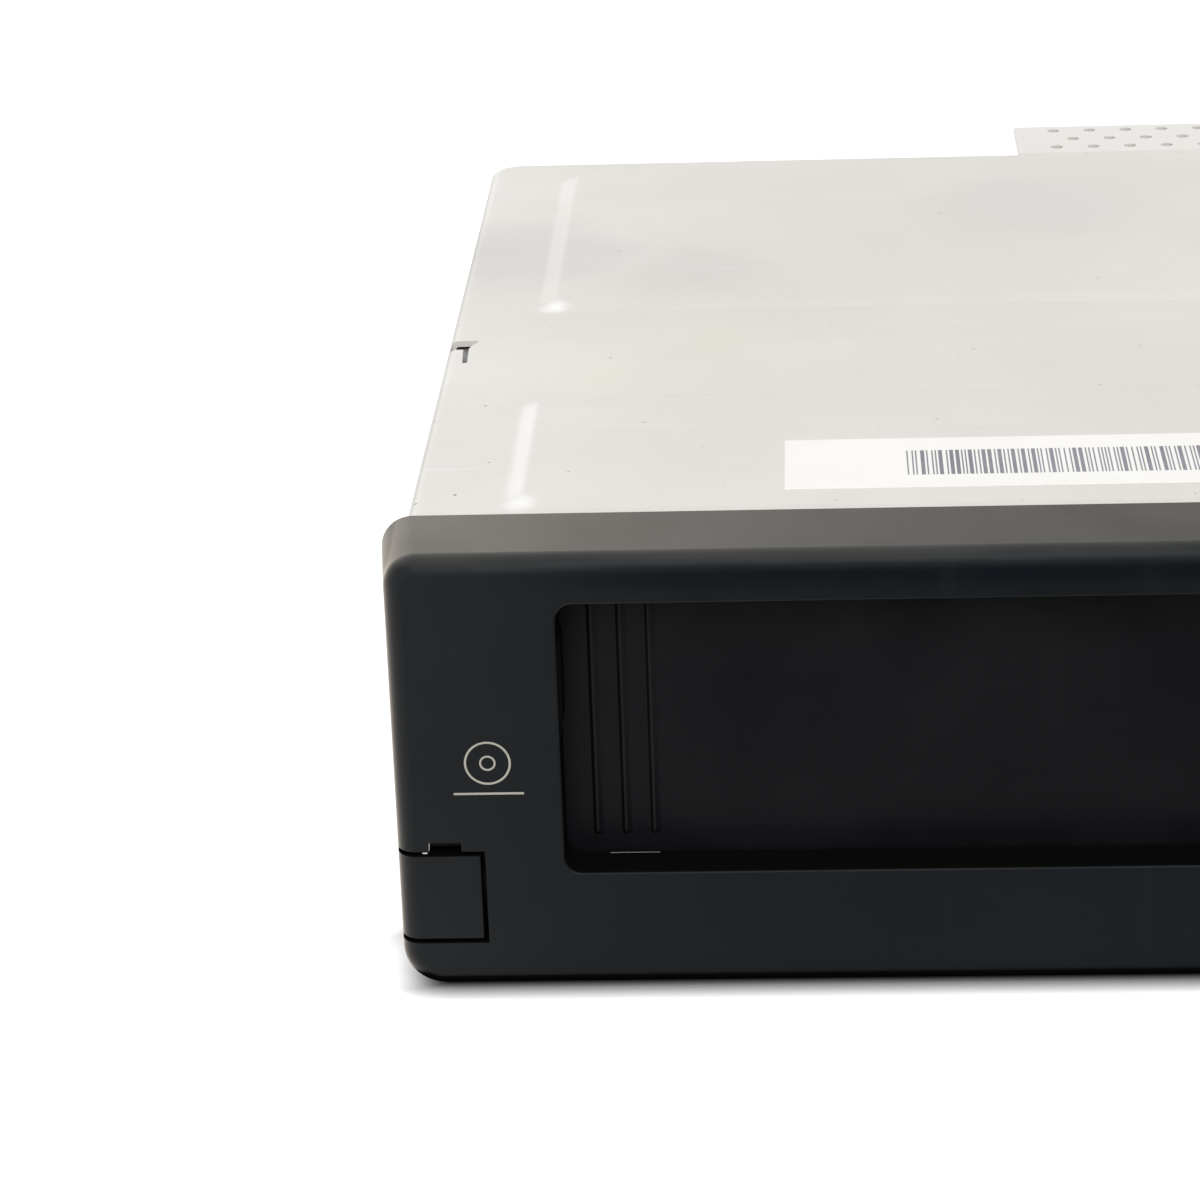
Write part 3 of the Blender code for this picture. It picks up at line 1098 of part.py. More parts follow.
def make_dials():
    y = CASE_FRONT + DIAL_PLACE_SHARE * CASE_LENGTH
    sides = (("angle_dial_left", CASE_LEFT, 1), ("angle_dial_right", CASE_RIGHT, -1))
    for name, face, inwards in sides:
        outer = face - inwards * FIT
        inner = face + inwards * (SHEET + FIT)
        back = inner + inwards * DIAL_THICK
        rim = DIAL_RADIUS + 2 * RUN
        bm = bmesh.new()
        steps = ((DIAL_RADIUS, outer), (DIAL_RADIUS, inner), (rim, inner), (rim, back))
        add_turned(bm, "X", (y, DIAL_HEIGHT), steps, DIAL_SIDES)
        dial = piece(name, bm, DARK_GREY, (face, y, DIAL_HEIGHT))
        bm = bmesh.new()
        near = outer - inwards * OVERRUN
        far = outer + inwards * DIAL_SLOT_DEPTH
        half = DIAL_SLOT_WIDTH / 2
        low = (min(near, far), y - DIAL_RADIUS / 2, DIAL_HEIGHT - half)
        add_box(bm, low, (max(near, far), y + DIAL_RADIUS / 2, DIAL_HEIGHT + half))
        cut(dial, bm)


make_bezel()
make_corner_cap()
make_door()
make_mouth()
make_cover()
make_chassis()
make_rear_housing()
make_label_and_fasteners()
make_magazine()
make_mechanism_frame()
make_lift()
make_carriage()
make_board()
make_dials()
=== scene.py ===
"""The looks of the disc changer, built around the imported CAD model.

Lengths are in metres. Meshes are built in the photograph's frame, as in the part's source:
X from the bezel's left side, Y from its front face backwards, Z from the feet up.
They are then shifted as a whole to the row frame."""

import math
import random

import bmesh
import bpy
from mathutils import Matrix, Vector


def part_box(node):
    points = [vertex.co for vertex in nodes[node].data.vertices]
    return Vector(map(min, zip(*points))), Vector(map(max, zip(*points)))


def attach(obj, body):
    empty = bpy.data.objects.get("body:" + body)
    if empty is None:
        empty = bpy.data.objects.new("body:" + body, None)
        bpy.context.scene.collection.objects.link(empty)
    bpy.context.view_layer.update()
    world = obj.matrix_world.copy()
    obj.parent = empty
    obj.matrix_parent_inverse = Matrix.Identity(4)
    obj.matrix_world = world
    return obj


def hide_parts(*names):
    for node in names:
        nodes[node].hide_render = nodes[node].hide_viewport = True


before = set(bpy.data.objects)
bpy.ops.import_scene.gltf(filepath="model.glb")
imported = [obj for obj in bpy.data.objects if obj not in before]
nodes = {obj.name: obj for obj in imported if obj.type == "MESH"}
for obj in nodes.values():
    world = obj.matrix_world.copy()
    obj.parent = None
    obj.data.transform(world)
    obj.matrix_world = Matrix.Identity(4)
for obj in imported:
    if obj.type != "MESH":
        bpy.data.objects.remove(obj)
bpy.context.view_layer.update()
BEZEL_FLARE = 0.0014
SHIFT = Vector((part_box("front_bezel")[0].x + BEZEL_FLARE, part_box("front_bezel")[0].y, 0.0))

# What all pieces share
SMOOTH_ANGLE = math.radians(32)
FINE_STEPS = 10
FLAT_WEIGHT = 100
OVERRUN = 0.002
FIT = 0.0003
SHEET = 0.0009
SMALL_BEVEL = 0.00015
ROUND_STEPS = 14
SOFT_STEPS = 3
BEVEL_SEGMENTS = 2
CAP_BEVEL = 0.00012
CAP_BEVEL_ANGLE = math.radians(40)
NODE_BEVEL = 0.0002
NODE_BEVEL_ANGLE = math.radians(35)
NODE_WELD = 0.00001
INK = 0.00001

# Bezel, cap and door, as in the part's source
BEZEL_WIDTH = 0.262
BEZEL_HEIGHT = 0.060
BEZEL_DEPTH = 0.016
BEZEL_CORNER = 0.0042
BEZEL_FOOT_CORNER = 0.0054
BEZEL_ROUND = 0.0026
BEZEL_WALL = 0.0022
FACE_WALL = 0.0024
WINDOW = ((0.0217, 0.0165), (0.1693, 0.0536))
WINDOW_CORNER = 0.0022
WINDOW_LIP = 0.0004
COLLAR_WALL = 0.0024
COLLAR_DEPTH = 0.0061
CAP_WIDTH = 0.01085
CAP_BOTTOM = 0.0072
CAP_TOP = 0.0191
CAP_WRAP = 0.0120
CAP_WALL = 0.0020
CAP_GAP = 0.00055
NOTCH = ((0.0042, 0.0191), (0.0084, 0.02095))
NOTCH_DEPTH = 0.0019
DOOR_FRONT = 0.00705
DOOR_THICK = 0.0018
RIB_PLACES = (0.0251, 0.02879, 0.03248)
RIB_WIDTH = 0.0015
RIB_HEIGHT = 0.0006
RIB_BOTTOM = 0.0188

# Cover
CASE_LEFT = 0.0017
CASE_RIGHT = 0.2603
CASE_FRONT = 0.0163
CASE_REAR = 0.1854
CASE_TOP = 0.0591
CASE_CORNER = 0.0050
EDGE_ROUND = 0.0014
SKIRT = 0.0016
PANEL_MARGIN = 0.0136
PANEL_RISE = 0.0008
PANEL_SLOPE = 0.0031
PANEL_CORNER = 0.0065
PANELS = ((0.0193, 0.0648), (0.1028, 0.1784))
TONGUE = (0.0895, 0.2280)
TOTAL_DEPTH = 0.2019
VENT_RADIUS = 0.0010
VENT_PITCH = 0.0061
VENT_ROWS = (0.1888, 0.1939, 0.1990)
VENT_MARGIN = 0.0066
NUT_PLACES = ((0.056884, 0.030), (0.15158, 0.030))
NUT_BORE = 0.0021
DIAL_PLACE = (0.104232, 0.030)
DIAL_HOLE = 0.0135
SCREW_PLACES = ((0.029828, 0.0074), (0.175254, 0.0074))
SCREW_HOLE = 0.0014


def place(axis, a, b, along):
    """The point at a and b across the axis, in X, Y, Z order, and at along on it."""
    return {"X": (along, a, b), "Y": (a, along, b), "Z": (a, b, along)}[axis]


def rounded(low, high, radius, steps=FINE_STEPS):
    """The outline of a rectangle with round corners."""
    corners = (
        (high[0] - radius, high[1] - radius),
        (low[0] + radius, high[1] - radius),
        (low[0] + radius, low[1] + radius),
        (high[0] - radius, low[1] + radius),
    )
    points = []
    for quarter, (a, b) in enumerate(corners):
        for step in range(steps + 1):
            angle = (quarter + step / steps) * math.pi / 2
            points.append((a + radius * math.cos(angle), b + radius * math.sin(angle)))
    return points


def grown(box, grow, radius):
    """The outline of a box with round corners, grown on all sides."""
    low = (box[0][0] - grow, box[0][1] - grow)
    high = (box[1][0] + grow, box[1][1] + grow)
    return rounded(low, high, radius + grow)


def circle(centre, radius, sides):
    turns = [2 * math.pi * side / sides for side in range(sides)]
    return [(centre[0] + radius * math.cos(t), centre[1] + radius * math.sin(t)) for t in turns]


def quarter_round(radius, steps):
    """(inset, depth) pairs of a quarter-round edge, from its face to its side."""
    pairs = []
    for step in range(steps + 1):
        angle = step / steps * math.pi / 2
        pairs.append((radius * (1 - math.sin(angle)), radius * (1 - math.cos(angle))))
    return pairs


def loft(bm, axis, levels):
    """A closed body through outlines with as many points each; a level is (outline, place)."""
    rings = []
    for outline, along in levels:
        rings.append([bm.verts.new(place(axis, a, b, along)) for a, b in outline])
    for low, high in zip(rings, rings[1:]):
        for i in range(len(low)):
            j = (i + 1) % len(low)
            bm.faces.new((low[i], low[j], high[j], high[i]))
    bm.faces.new(rings[0])
    bm.faces.new(rings[-1])


def prism(bm, axis, outline, start, end):
    loft(bm, axis, [(outline, start), (outline, end)])


def block(bm, low, high):
    outline = [(low[0], low[1]), (high[0], low[1]), (high[0], high[1]), (low[0], high[1])]
    prism(bm, "Z", outline, low[2], high[2])


def soft_block(bm, low, high, radius):
    """A block whose upright edges and top rim are round."""
    levels = [(rounded(low[:2], high[:2], 2 * radius, SOFT_STEPS), low[2])]
    for inset, depth in reversed(quarter_round(radius, SOFT_STEPS)):
        inner_low = (low[0] + inset, low[1] + inset)
        inner_high = (high[0] - inset, high[1] - inset)
        outline = rounded(inner_low, inner_high, 2 * radius - inset, SOFT_STEPS)
        levels.append((outline, high[2] - depth))
    loft(bm, "Z", levels)


def mesh_from(name, bm):
    """The mesh, with its normals outwards, shifted from the photograph's frame to the row frame."""
    bmesh.ops.recalc_face_normals(bm, faces=bm.faces)
    bmesh.ops.translate(bm, vec=SHIFT, verts=bm.verts)
    mesh = bpy.data.meshes.new(name)
    bm.to_mesh(mesh)
    bm.free()
    return mesh


def make(name, bm):
    obj = bpy.data.objects.new(name, mesh_from(name, bm))
    bpy.context.scene.collection.objects.link(obj)
    return obj


def settle(obj):
    """Applies the object's modifiers to its mesh."""
    depsgraph = bpy.context.evaluated_depsgraph_get()
    mesh = bpy.data.meshes.new_from_object(obj.evaluated_get(depsgraph))
    obj.modifiers.clear()
    obj.data = mesh


def combine(obj, operation, bm):
    """Cuts a helper's shape from the object, or joins it on, at once."""
    helper = make(f"{obj.name}_helper", bm)
    modifier = obj.modifiers.new(operation, "BOOLEAN")
    modifier.operation = operation
    modifier.solver = "EXACT"
    modifier.object = helper
    settle(obj)
    bpy.data.objects.remove(helper, do_unlink=True)


def shade(obj, angle=SMOOTH_ANGLE):
    """Smooth shading with sharp edges kept, and large faces kept flat."""
    obj.data.shade_smooth()
    obj.data.set_sharp_from_angle(angle=angle)
    weighted = obj.modifiers.new("flat_faces", "WEIGHTED_NORMAL")
    weighted.keep_sharp = True
    weighted.weight = FLAT_WEIGHT


def bevel(obj, width, angle):
    modifier = obj.modifiers.new("edges", "BEVEL")
    modifier.width = width
    modifier.segments = BEVEL_SEGMENTS
    modifier.limit_method = "ANGLE"
    modifier.angle_limit = angle
    modifier.use_clamp_overlap = True


def dress(obj, body, look, replaced=()):
    """The last steps of a new piece: its material, its body and the nodes it stands for."""
    obj.data.materials.clear()
    obj.data.materials.append(look)
    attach(obj, body)
    if replaced:
        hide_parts(*replaced)


class Nodes:
    """A new material around one Principled shader, with short calls for its nodes."""

    def __init__(self, name, colour, roughness, metallic=0.0, specular=0.5):
        self.material = bpy.data.materials.new(name)
        self.material.use_nodes = True
        self.tree = self.material.node_tree
        self.shader = self.tree.nodes["Principled BSDF"]
        self.shader.inputs["Base Color"].default_value = (*colour, 1)
        self.shader.inputs["Roughness"].default_value = roughness
        self.shader.inputs["Metallic"].default_value = metallic
        self.shader.inputs["Specular IOR Level"].default_value = specular
        self.place = self.tree.nodes.new("ShaderNodeTexCoord").outputs["Object"]
        self.parts = self.node("ShaderNodeSeparateXYZ", Vector=self.place).outputs
        self.height = None

    def node(self, kind, **inputs):
        node = self.tree.nodes.new(kind)
        for key, value in inputs.items():
            self.feed(node.inputs[key], value)
        return node

    def feed(self, socket, value):
        if isinstance(value, bpy.types.NodeSocket):
            self.tree.links.new(value, socket)
        else:
            socket.default_value = value

    def stretched(self, scale):
        mapping = self.node("ShaderNodeMapping", Vector=self.place)
        mapping.inputs["Scale"].default_value = scale
        return mapping.outputs["Vector"]

    def noise(self, scale, detail=4.0, roughness=0.6, vector=None):
        node = self.node("ShaderNodeTexNoise", Scale=scale, Detail=detail, Roughness=roughness)
        self.feed(node.inputs["Vector"], vector or self.place)
        return node.outputs["Fac"]

    def cells(self, scale, vector=None, dimensions="3D"):
        node = self.tree.nodes.new("ShaderNodeTexVoronoi")
        node.voronoi_dimensions = dimensions
        node.inputs["Scale"].default_value = scale
        self.feed(node.inputs["Vector"], vector or self.place)
        return node

    def math(self, operation, first, *others):
        """The operation on the first two values, then on its result and the next value."""
        for other in others:
            node = self.tree.nodes.new("ShaderNodeMath")
            node.operation = operation
            self.feed(node.inputs[0], first)
            self.feed(node.inputs[1], other)
            first = node.outputs[0]
        return first

    def times(self, *values):
        return self.math("MULTIPLY", *values)

    def less(self, mask, share):
        """1 where the mask is 0, and 1 - share where it is 1."""
        return self.math("SUBTRACT", 1.0, self.times(mask, share))

    def ramp(self, value, low, high, start=0.0, end=1.0):
        """Value from low to high becomes start to end, smoothly."""
        node = self.tree.nodes.new("ShaderNodeMapRange")
        node.interpolation_type = "SMOOTHSTEP"
        for key, number in (("From Min", low), ("From Max", high), ("To Min", start), ("To Max", end)):
            node.inputs[key].default_value = number
        self.feed(node.inputs["Value"], value)
        return node.outputs["Result"]

    def mix(self, share, a, b):
        node = self.tree.nodes.new("ShaderNodeMix")
        node.data_type = "RGBA"
        self.feed(node.inputs["Factor"], share)
        for socket, value in ((node.inputs["A"], a), (node.inputs["B"], b)):
            if isinstance(value, tuple):
                value = (*value, 1)
            self.feed(socket, value)
        return node.outputs["Result"]

    def along(self, axis, low, high, start=0.0, end=1.0):
        """A ramp along an axis, between two places in the photograph's frame."""
        index = "XYZ".index(axis)
        return self.ramp(self.parts[index], SHIFT[index] + low, SHIFT[index] + high, start, end)

    def zone(self, bands):
        """The product of the bands. Each is an axis, the place where the band is 0 and the place
        where it is 1, in the photograph's frame."""
        ramps = []
        for axis, none, full in bands:
            if none < full:
                ramps.append(self.along(axis, none, full))
            else:
                ramps.append(self.along(axis, full, none, 1.0, 0.0))
        return self.times(*ramps)

    def spot(self, centre, radius, edge, wobble=None):
        """1 at the centre, given in the photograph's frame, falling to 0 over edge beyond radius."""
        node = self.tree.nodes.new("ShaderNodeVectorMath")
        node.operation = "DISTANCE"
        self.feed(node.inputs[0], self.place)
        node.inputs[1].default_value = Vector(centre) + SHIFT
        distance = node.outputs["Value"]
        if wobble:
            distance = self.math("ADD", distance, wobble)
        return self.ramp(distance, radius, radius + edge, 1.0, 0.0)

    def colour(self, value):
        self.feed(self.shader.inputs["Base Color"], value)

    def rough(self, value):
        self.feed(self.shader.inputs["Roughness"], value)

    def bump(self, height, distance, strength):
        node = self.tree.nodes.new("ShaderNodeBump")
        node.inputs["Strength"].default_value = strength
        node.inputs["Distance"].default_value = distance
        self.feed(node.inputs["Height"], height)
        if self.height:
            self.feed(node.inputs["Normal"], self.height)
        self.height = node.outputs["Normal"]
        self.feed(self.shader.inputs["Normal"], self.height)


# What the materials share: dust and scuffs on plastic, and the depths of bumps
DUST_SHARE = 0.35
DUST_LIFT = 0.02
DUST_GAIN = 1.8
SCUFF_SHARE = 0.10
FINE_BUMP = 0.00002
PAPER_BUMP = 0.00001
TRACK_BUMP = 0.00004
CLOUD_BUMP = 0.0003
SHEET_BUMP = 0.0012

# Places and colours of the bezel's plastic. In a zone, each band is an axis, where it is 0, and
# where it is 1.
# Painted highlight: the upper part of the bezel's rounded top edge is made lighter, with a patchy share.
EDGE_HIGHLIGHT = (("Z", 0.0585, 0.0592), ("Y", 0.0002, 0.0011), ("Y", 0.0034, 0.0018))
# Painted shade: a band on the face just under the rounded top edge loses part of its sheen and gloss.
SHADED_UNDER_EDGE = (("Z", 0.0540, 0.0572), ("Z", 0.0592, 0.0584), ("Y", 0.0040, 0.0026), ("X", 0.012, 0.038))
END_WALL = (("X", 0.0010, 0.0002), ("Y", 0.0026, 0.0060))
# Painted shade: the window's walls, the cap's recess and the underside get a darker colour and no sheen
# or gloss.
SHADED_WINDOW_WALLS = (("X", 0.0195, 0.0207), ("Z", 0.0560, 0.0552), ("Y", 0.0, 0.0002))
SHADED_UNDERSIDE = (("Z", 0.0030, 0.0020), ("Y", 0.0, 0.0002))
RECESS_BOTTOM = CAP_BOTTOM - CAP_GAP
RECESS_TOP = CAP_TOP + CAP_GAP
RECESS_RIGHT = CAP_WIDTH + CAP_GAP
RIM = 0.0001
SHADED_RECESS = (
    ("Z", RECESS_BOTTOM - RIM, RECESS_BOTTOM),
    ("Z", RECESS_TOP + RIM, RECESS_TOP),
    ("X", RECESS_RIGHT + RIM, RECESS_RIGHT),
)
# Painted shade on the cap's sides that face its gap.
SHADED_CAP_SIDES = (
    (("X", CAP_WIDTH - 1.5 * RIM, CAP_WIDTH - 0.5 * RIM),),
    (("Z", CAP_BOTTOM + 1.5 * RIM, CAP_BOTTOM + 0.5 * RIM),),
    (("Z", CAP_TOP - 1.5 * RIM, CAP_TOP - 0.5 * RIM),),
)
BEZEL_COLOUR = (0.0024, 0.0048, 0.0074)
BEZEL_LIGHT = (0.0038, 0.0064, 0.0092)
EDGE_HIGHLIGHT_COLOUR = (0.030, 0.032, 0.031)
HOLLOW_SHADE_COLOUR = (0.0050, 0.0048, 0.0046)
BEZEL_ROUGHNESS = 0.46
BEZEL_GRAIN = 5200.0
BEZEL_SPECULAR = 0.17
SHEEN_TINT = (1.0, 0.89, 0.76, 1)
SHEEN_ROUGHNESS = 0.40
# Painted reflection: the sheen's weight ramps along X over this span from the first share to the second,
# strongest at the left end, and is lessened on the left end wall.
SHEEN_SPAN = (-0.030, 0.080)
SHEEN_SHARES = (1.20, 0.42)
UNDER_EDGE_LOSS = 0.5
END_WALL_LOSS = 0.45
EDGE_HIGHLIGHT_SHARES = (0.45, 1.0)

# Places and colours of the door's plastic
DOOR_FINISH = ((0.0038, 0.0042, 0.0052), (0.0052, 0.0056, 0.0067), 0.40, 4200.0, 0.19)
CREST = DOOR_FRONT - 0.75 * RIB_HEIGHT
CREST_EDGE = 0.00012
# Painted highlight: the crests of the ribs take a lighter colour.
CREST_HIGHLIGHT_SHARE = 0.8
CREST_HIGHLIGHT_COLOUR = (0.0115, 0.0118, 0.0125)


def plastic_base(n, colour, light, roughness, grain):
    """A fine spark-eroded grain, faint cloudiness, dust and a few pale scuffs."""
    cloud = n.noise(22.0, 3.0)
    dust = n.ramp(n.noise(2600.0, 2.0), 0.70, 0.82)
    streak = n.ramp(n.noise(160.0, 2.0, 0.5, n.stretched((1.0, 1.0, 0.04))), 0.66, 0.76)
    base = n.mix(n.ramp(cloud, 0.35, 0.68), colour, light)
    dusty = tuple(DUST_LIFT + DUST_GAIN * c for c in light)
    base = n.mix(n.times(dust, DUST_SHARE), base, dusty)
    base = n.mix(n.times(streak, SCUFF_SHARE), base, dusty)
    n.rough(n.ramp(n.noise(60.0, 3.0), 0.3, 0.7, roughness - 0.05, roughness + 0.07))
    n.bump(n.noise(grain, 3.0, 0.55), FINE_BUMP, 0.5)
    n.bump(cloud, CLOUD_BUMP, 0.06)
    return base


def black_plastic(name, colour, light, roughness, grain, specular=0.5):
    n = Nodes(name, colour, roughness, specular=specular)
    n.colour(plastic_base(n, colour, light, roughness, grain))
    return n.material


def ribbed_plastic(name):
    """The door's plastic, with a painted highlight along the crests of its ribs."""
    colour, light, roughness, grain, specular = DOOR_FINISH
    n = Nodes(name, colour, roughness, specular=specular)
    base = plastic_base(n, colour, light, roughness, grain)
    crest_highlight = n.along("Y", CREST - CREST_EDGE, CREST, CREST_HIGHLIGHT_SHARE, 0.0)
    n.colour(n.mix(crest_highlight, base, CREST_HIGHLIGHT_COLOUR))
    return n.material


def bezel_plastic(name, shaded_hollows):
    """Matt plastic with a painted highlight along its upper edge and painted shade just under it. It has
    a warm sheen at a flat angle, painted stronger at the left end as a reflection, and painted shade
    with neither sheen nor gloss in its hollows."""
    n = Nodes(name, BEZEL_COLOUR, BEZEL_ROUGHNESS)
    base = plastic_base(n, BEZEL_COLOUR, BEZEL_LIGHT, BEZEL_ROUGHNESS, BEZEL_GRAIN)
    highlit_edge = n.times(n.zone(EDGE_HIGHLIGHT), n.ramp(n.noise(35.0, 3.0), 0.30, 0.65, *EDGE_HIGHLIGHT_SHARES))
    base = n.mix(highlit_edge, base, EDGE_HIGHLIGHT_COLOUR)
    shaded_hollow = n.math("MAXIMUM", *[n.zone(bands) for bands in shaded_hollows])
    n.colour(n.mix(shaded_hollow, base, HOLLOW_SHADE_COLOUR))
    unshaded_share = n.times(n.less(shaded_hollow, 1.0), n.less(n.zone(SHADED_UNDER_EDGE), UNDER_EDGE_LOSS))
    # The sheen is a painted reflection, stronger at the left end.
    painted_sheen = n.times(n.along("X", *SHEEN_SPAN, *SHEEN_SHARES), n.less(n.zone(END_WALL), END_WALL_LOSS))
    n.feed(n.shader.inputs["Sheen Weight"], n.times(unshaded_share, painted_sheen))
    n.feed(n.shader.inputs["Specular IOR Level"], n.times(unshaded_share, BEZEL_SPECULAR))
    n.shader.inputs["Sheen Roughness"].default_value = SHEEN_ROUGHNESS
    n.shader.inputs["Sheen Tint"].default_value = SHEEN_TINT
    return n.material


# Stains on the cover: X, Y, radius, soft edge, share and colour
STAINS = (
    (0.009, 0.132, 0.005, 0.018, 0.75, (0.59, 0.58, 0.555)),
    (0.036, 0.120, 0.003, 0.016, 0.45, (0.62, 0.59, 0.575)),
    (0.090, 0.152, 0.006, 0.018, 0.40, (0.64, 0.62, 0.60)),
    (0.125, 0.133, 0.004, 0.016, 0.32, (0.62, 0.63, 0.59)),
    (0.042, 0.089, 0.001, 0.010, 0.45, (0.70, 0.69, 0.57)),
    (0.026, 0.074, 0.001, 0.009, 0.45, (0.74, 0.73, 0.60)),
    (0.100, 0.074, 0.003, 0.020, 0.16, (0.66, 0.66, 0.62)),
    (0.200, 0.060, 0.010, 0.030, 0.22, (0.64, 0.64, 0.60)),
    (0.215, 0.150, 0.008, 0.024, 0.25, (0.64, 0.62, 0.60)),
)
STAIN_WOBBLE = 0.016

# Rubbed marks on the cover: X, Y, radius and colour
DARK_MARKS = (
    (0.0075, 0.0257, 0.000144, (0.06, 0.06, 0.06)),
    (0.0020, 0.0193, 0.000180, (0.16, 0.15, 0.14)),
    (0.0025, 0.0229, 0.000204, (0.16, 0.15, 0.14)),
    (0.0022, 0.0406, 0.000180, (0.20, 0.19, 0.18)),
    (0.0023, 0.0556, 0.000192, (0.20, 0.19, 0.18)),
    (0.0209, 0.0414, 0.000096, (0.34, 0.33, 0.30)),
    (0.0221, 0.0413, 0.000108, (0.32, 0.31, 0.28)),
    (0.0274, 0.0359, 0.000096, (0.34, 0.33, 0.30)),
    (0.0200, 0.0257, 0.000108, (0.34, 0.33, 0.30)),
    (0.0111, 0.0380, 0.000120, (0.36, 0.35, 0.32)),
    (0.0090, 0.0613, 0.000180, (0.40, 0.39, 0.36)),
    (0.0309, 0.0270, 0.000096, (0.34, 0.33, 0.30)),
    (0.0227, 0.0611, 0.000240, (0.52, 0.51, 0.44)),
)
DARK_EDGE = 0.00016

# Specks on the cover: cells to a metre, size in a cell and share
SPECKS = ((150.0, 0.016, 0.40), (60.0, 0.010, 0.55))
SPECK_COLOUR = (0.25, 0.24, 0.22)

# Painted highlights on the cover: the panels' front left corners and the front panel's left slope; and a
# lighter tone on the tongue
CORNER_HIGHLIGHTS = ((0.0160, 0.0213, 0.75), (0.0161, 0.1049, 0.85))
HIGHLIGHT_RADIUS = 0.0005
HIGHLIGHT_FADE = 0.0026
HIGHLIGHT_COLOUR = (0.93, 0.925, 0.90)
LEFT_SLOPE_HIGHLIGHT = (("X", 0.0140, 0.0150), ("X", 0.0170, 0.0160), ("Y", 0.021, 0.026), ("Y", 0.063, 0.058))
SLOPE_HIGHLIGHT_SHARE = 0.45
TONGUE_COLOUR = (0.83, 0.805, 0.77)
TONGUE_SHARE = 0.8
TONGUE_EDGE = 0.0004


def cover_sheet(name):
    """Pale zinc-coated sheet: warm clouds, rolling streaks, grey and yellow stains, specks, dark rubbed
    marks, painted highlights, a lighter tongue and fine scratches."""
    n = Nodes(name, (0.70, 0.685, 0.65), 0.36, specular=0.35)
    cloud = n.noise(14.0, 5.0, 0.62)
    streaks = n.noise(34.0, 3.0, 0.6, n.stretched((0.16, 3.4, 1.0)))
    base = n.mix(n.ramp(cloud, 0.34, 0.70), (0.706, 0.682, 0.640), (0.760, 0.735, 0.696))
    base = n.mix(n.ramp(streaks, 0.45, 0.75, 0.0, 0.25), base, (0.71, 0.675, 0.64))
    wobble = n.times(n.math("SUBTRACT", n.noise(70.0, 4.0), 0.5), STAIN_WOBBLE)
    for x, y, radius, edge, share, tint in STAINS:
        stain = n.spot((x, y, CASE_TOP), radius, edge, wobble)
        base = n.mix(n.times(stain, share), base, tint)
    for scale, size, share in SPECKS:
        cells = n.cells(scale, dimensions="2D")
        dots = n.ramp(cells.outputs["Distance"], size, 2 * size, 1.0, 0.0)
        chosen = n.ramp(cells.outputs["Color"], 0.66, 0.74)
        base = n.mix(n.times(dots, chosen, share), base, SPECK_COLOUR)
    for x, y, radius, tint in DARK_MARKS:
        base = n.mix(n.spot((x, y, CASE_TOP), radius, DARK_EDGE), base, tint)
    # Painted highlights on the panels' front left corners and along the front panel's left slope.
    for x, y, share in CORNER_HIGHLIGHTS:
        highlight = n.spot((x, y, CASE_TOP), HIGHLIGHT_RADIUS, HIGHLIGHT_FADE)
        base = n.mix(n.times(highlight, share), base, HIGHLIGHT_COLOUR)
    base = n.mix(n.times(n.zone(LEFT_SLOPE_HIGHLIGHT), SLOPE_HIGHLIGHT_SHARE), base, HIGHLIGHT_COLOUR)
    tongue = n.along("Y", CASE_REAR - TONGUE_EDGE, CASE_REAR + TONGUE_EDGE, 0.0, TONGUE_SHARE)
    base = n.mix(tongue, base, TONGUE_COLOUR)
    scratch = n.ramp(n.noise(420.0, 1.0, 0.5, n.stretched((0.05, 1.0, 1.0))), 0.72, 0.80)
    base = n.mix(n.times(scratch, 0.22), base, (0.86, 0.86, 0.85))
    n.colour(base)
    n.rough(n.ramp(n.noise(45.0, 4.0), 0.3, 0.7, 0.31, 0.42))
    n.bump(n.noise(900.0, 2.0), FINE_BUMP, 0.25)
    n.bump(n.noise(9.0, 2.0), SHEET_BUMP, 0.10)
    return n.material


def brushed_metal(name, colour, dark, roughness, direction=(1.0, 0.05, 1.0)):
    """Rolled metal: fine streaks in one direction and cloudy tarnish."""
    n = Nodes(name, colour, roughness, metallic=1.0)
    streaks = n.noise(900.0, 3.0, 0.6, n.stretched(direction))
    tarnish = n.noise(40.0, 4.0)
    base = n.mix(n.ramp(tarnish, 0.40, 0.72), colour, dark)
    base = n.mix(n.ramp(streaks, 0.35, 0.70, 0.0, 0.35), base, tuple(0.75 * c for c in colour))
    n.colour(base)
    n.rough(n.ramp(streaks, 0.3, 0.7, roughness - 0.08, roughness + 0.12))
    n.bump(streaks, FINE_BUMP, 0.3)
    return n.material


def matt(name, colour, light, roughness):
    """Moulded nylon, rubber and the like, with clouds and a fine grain."""
    n = Nodes(name, colour, roughness)
    n.colour(n.mix(n.ramp(n.noise(60.0, 4.0), 0.35, 0.68), colour, light))
    n.rough(n.ramp(n.noise(200.0, 2.0), 0.3, 0.7, roughness - 0.05, min(1.0, roughness + 0.08)))
    n.bump(n.noise(1500.0, 2.0), FINE_BUMP, 0.4)
    return n.material


def paper(name):
    """White label paper with faint clouds and a faint fibre."""
    n = Nodes(name, (0.90, 0.895, 0.88), 0.42)
    base = n.mix(n.ramp(n.noise(80.0, 3.0), 0.35, 0.7), (0.950, 0.938, 0.905), (0.930, 0.915, 0.880))
    n.colour(base)
    n.rough(n.ramp(n.noise(300.0, 2.0), 0.3, 0.7, 0.36, 0.50))
    n.bump(n.noise(2500.0, 3.0), PAPER_BUMP, 0.3)
    return n.material


CHIP_EDGE = 0.00005


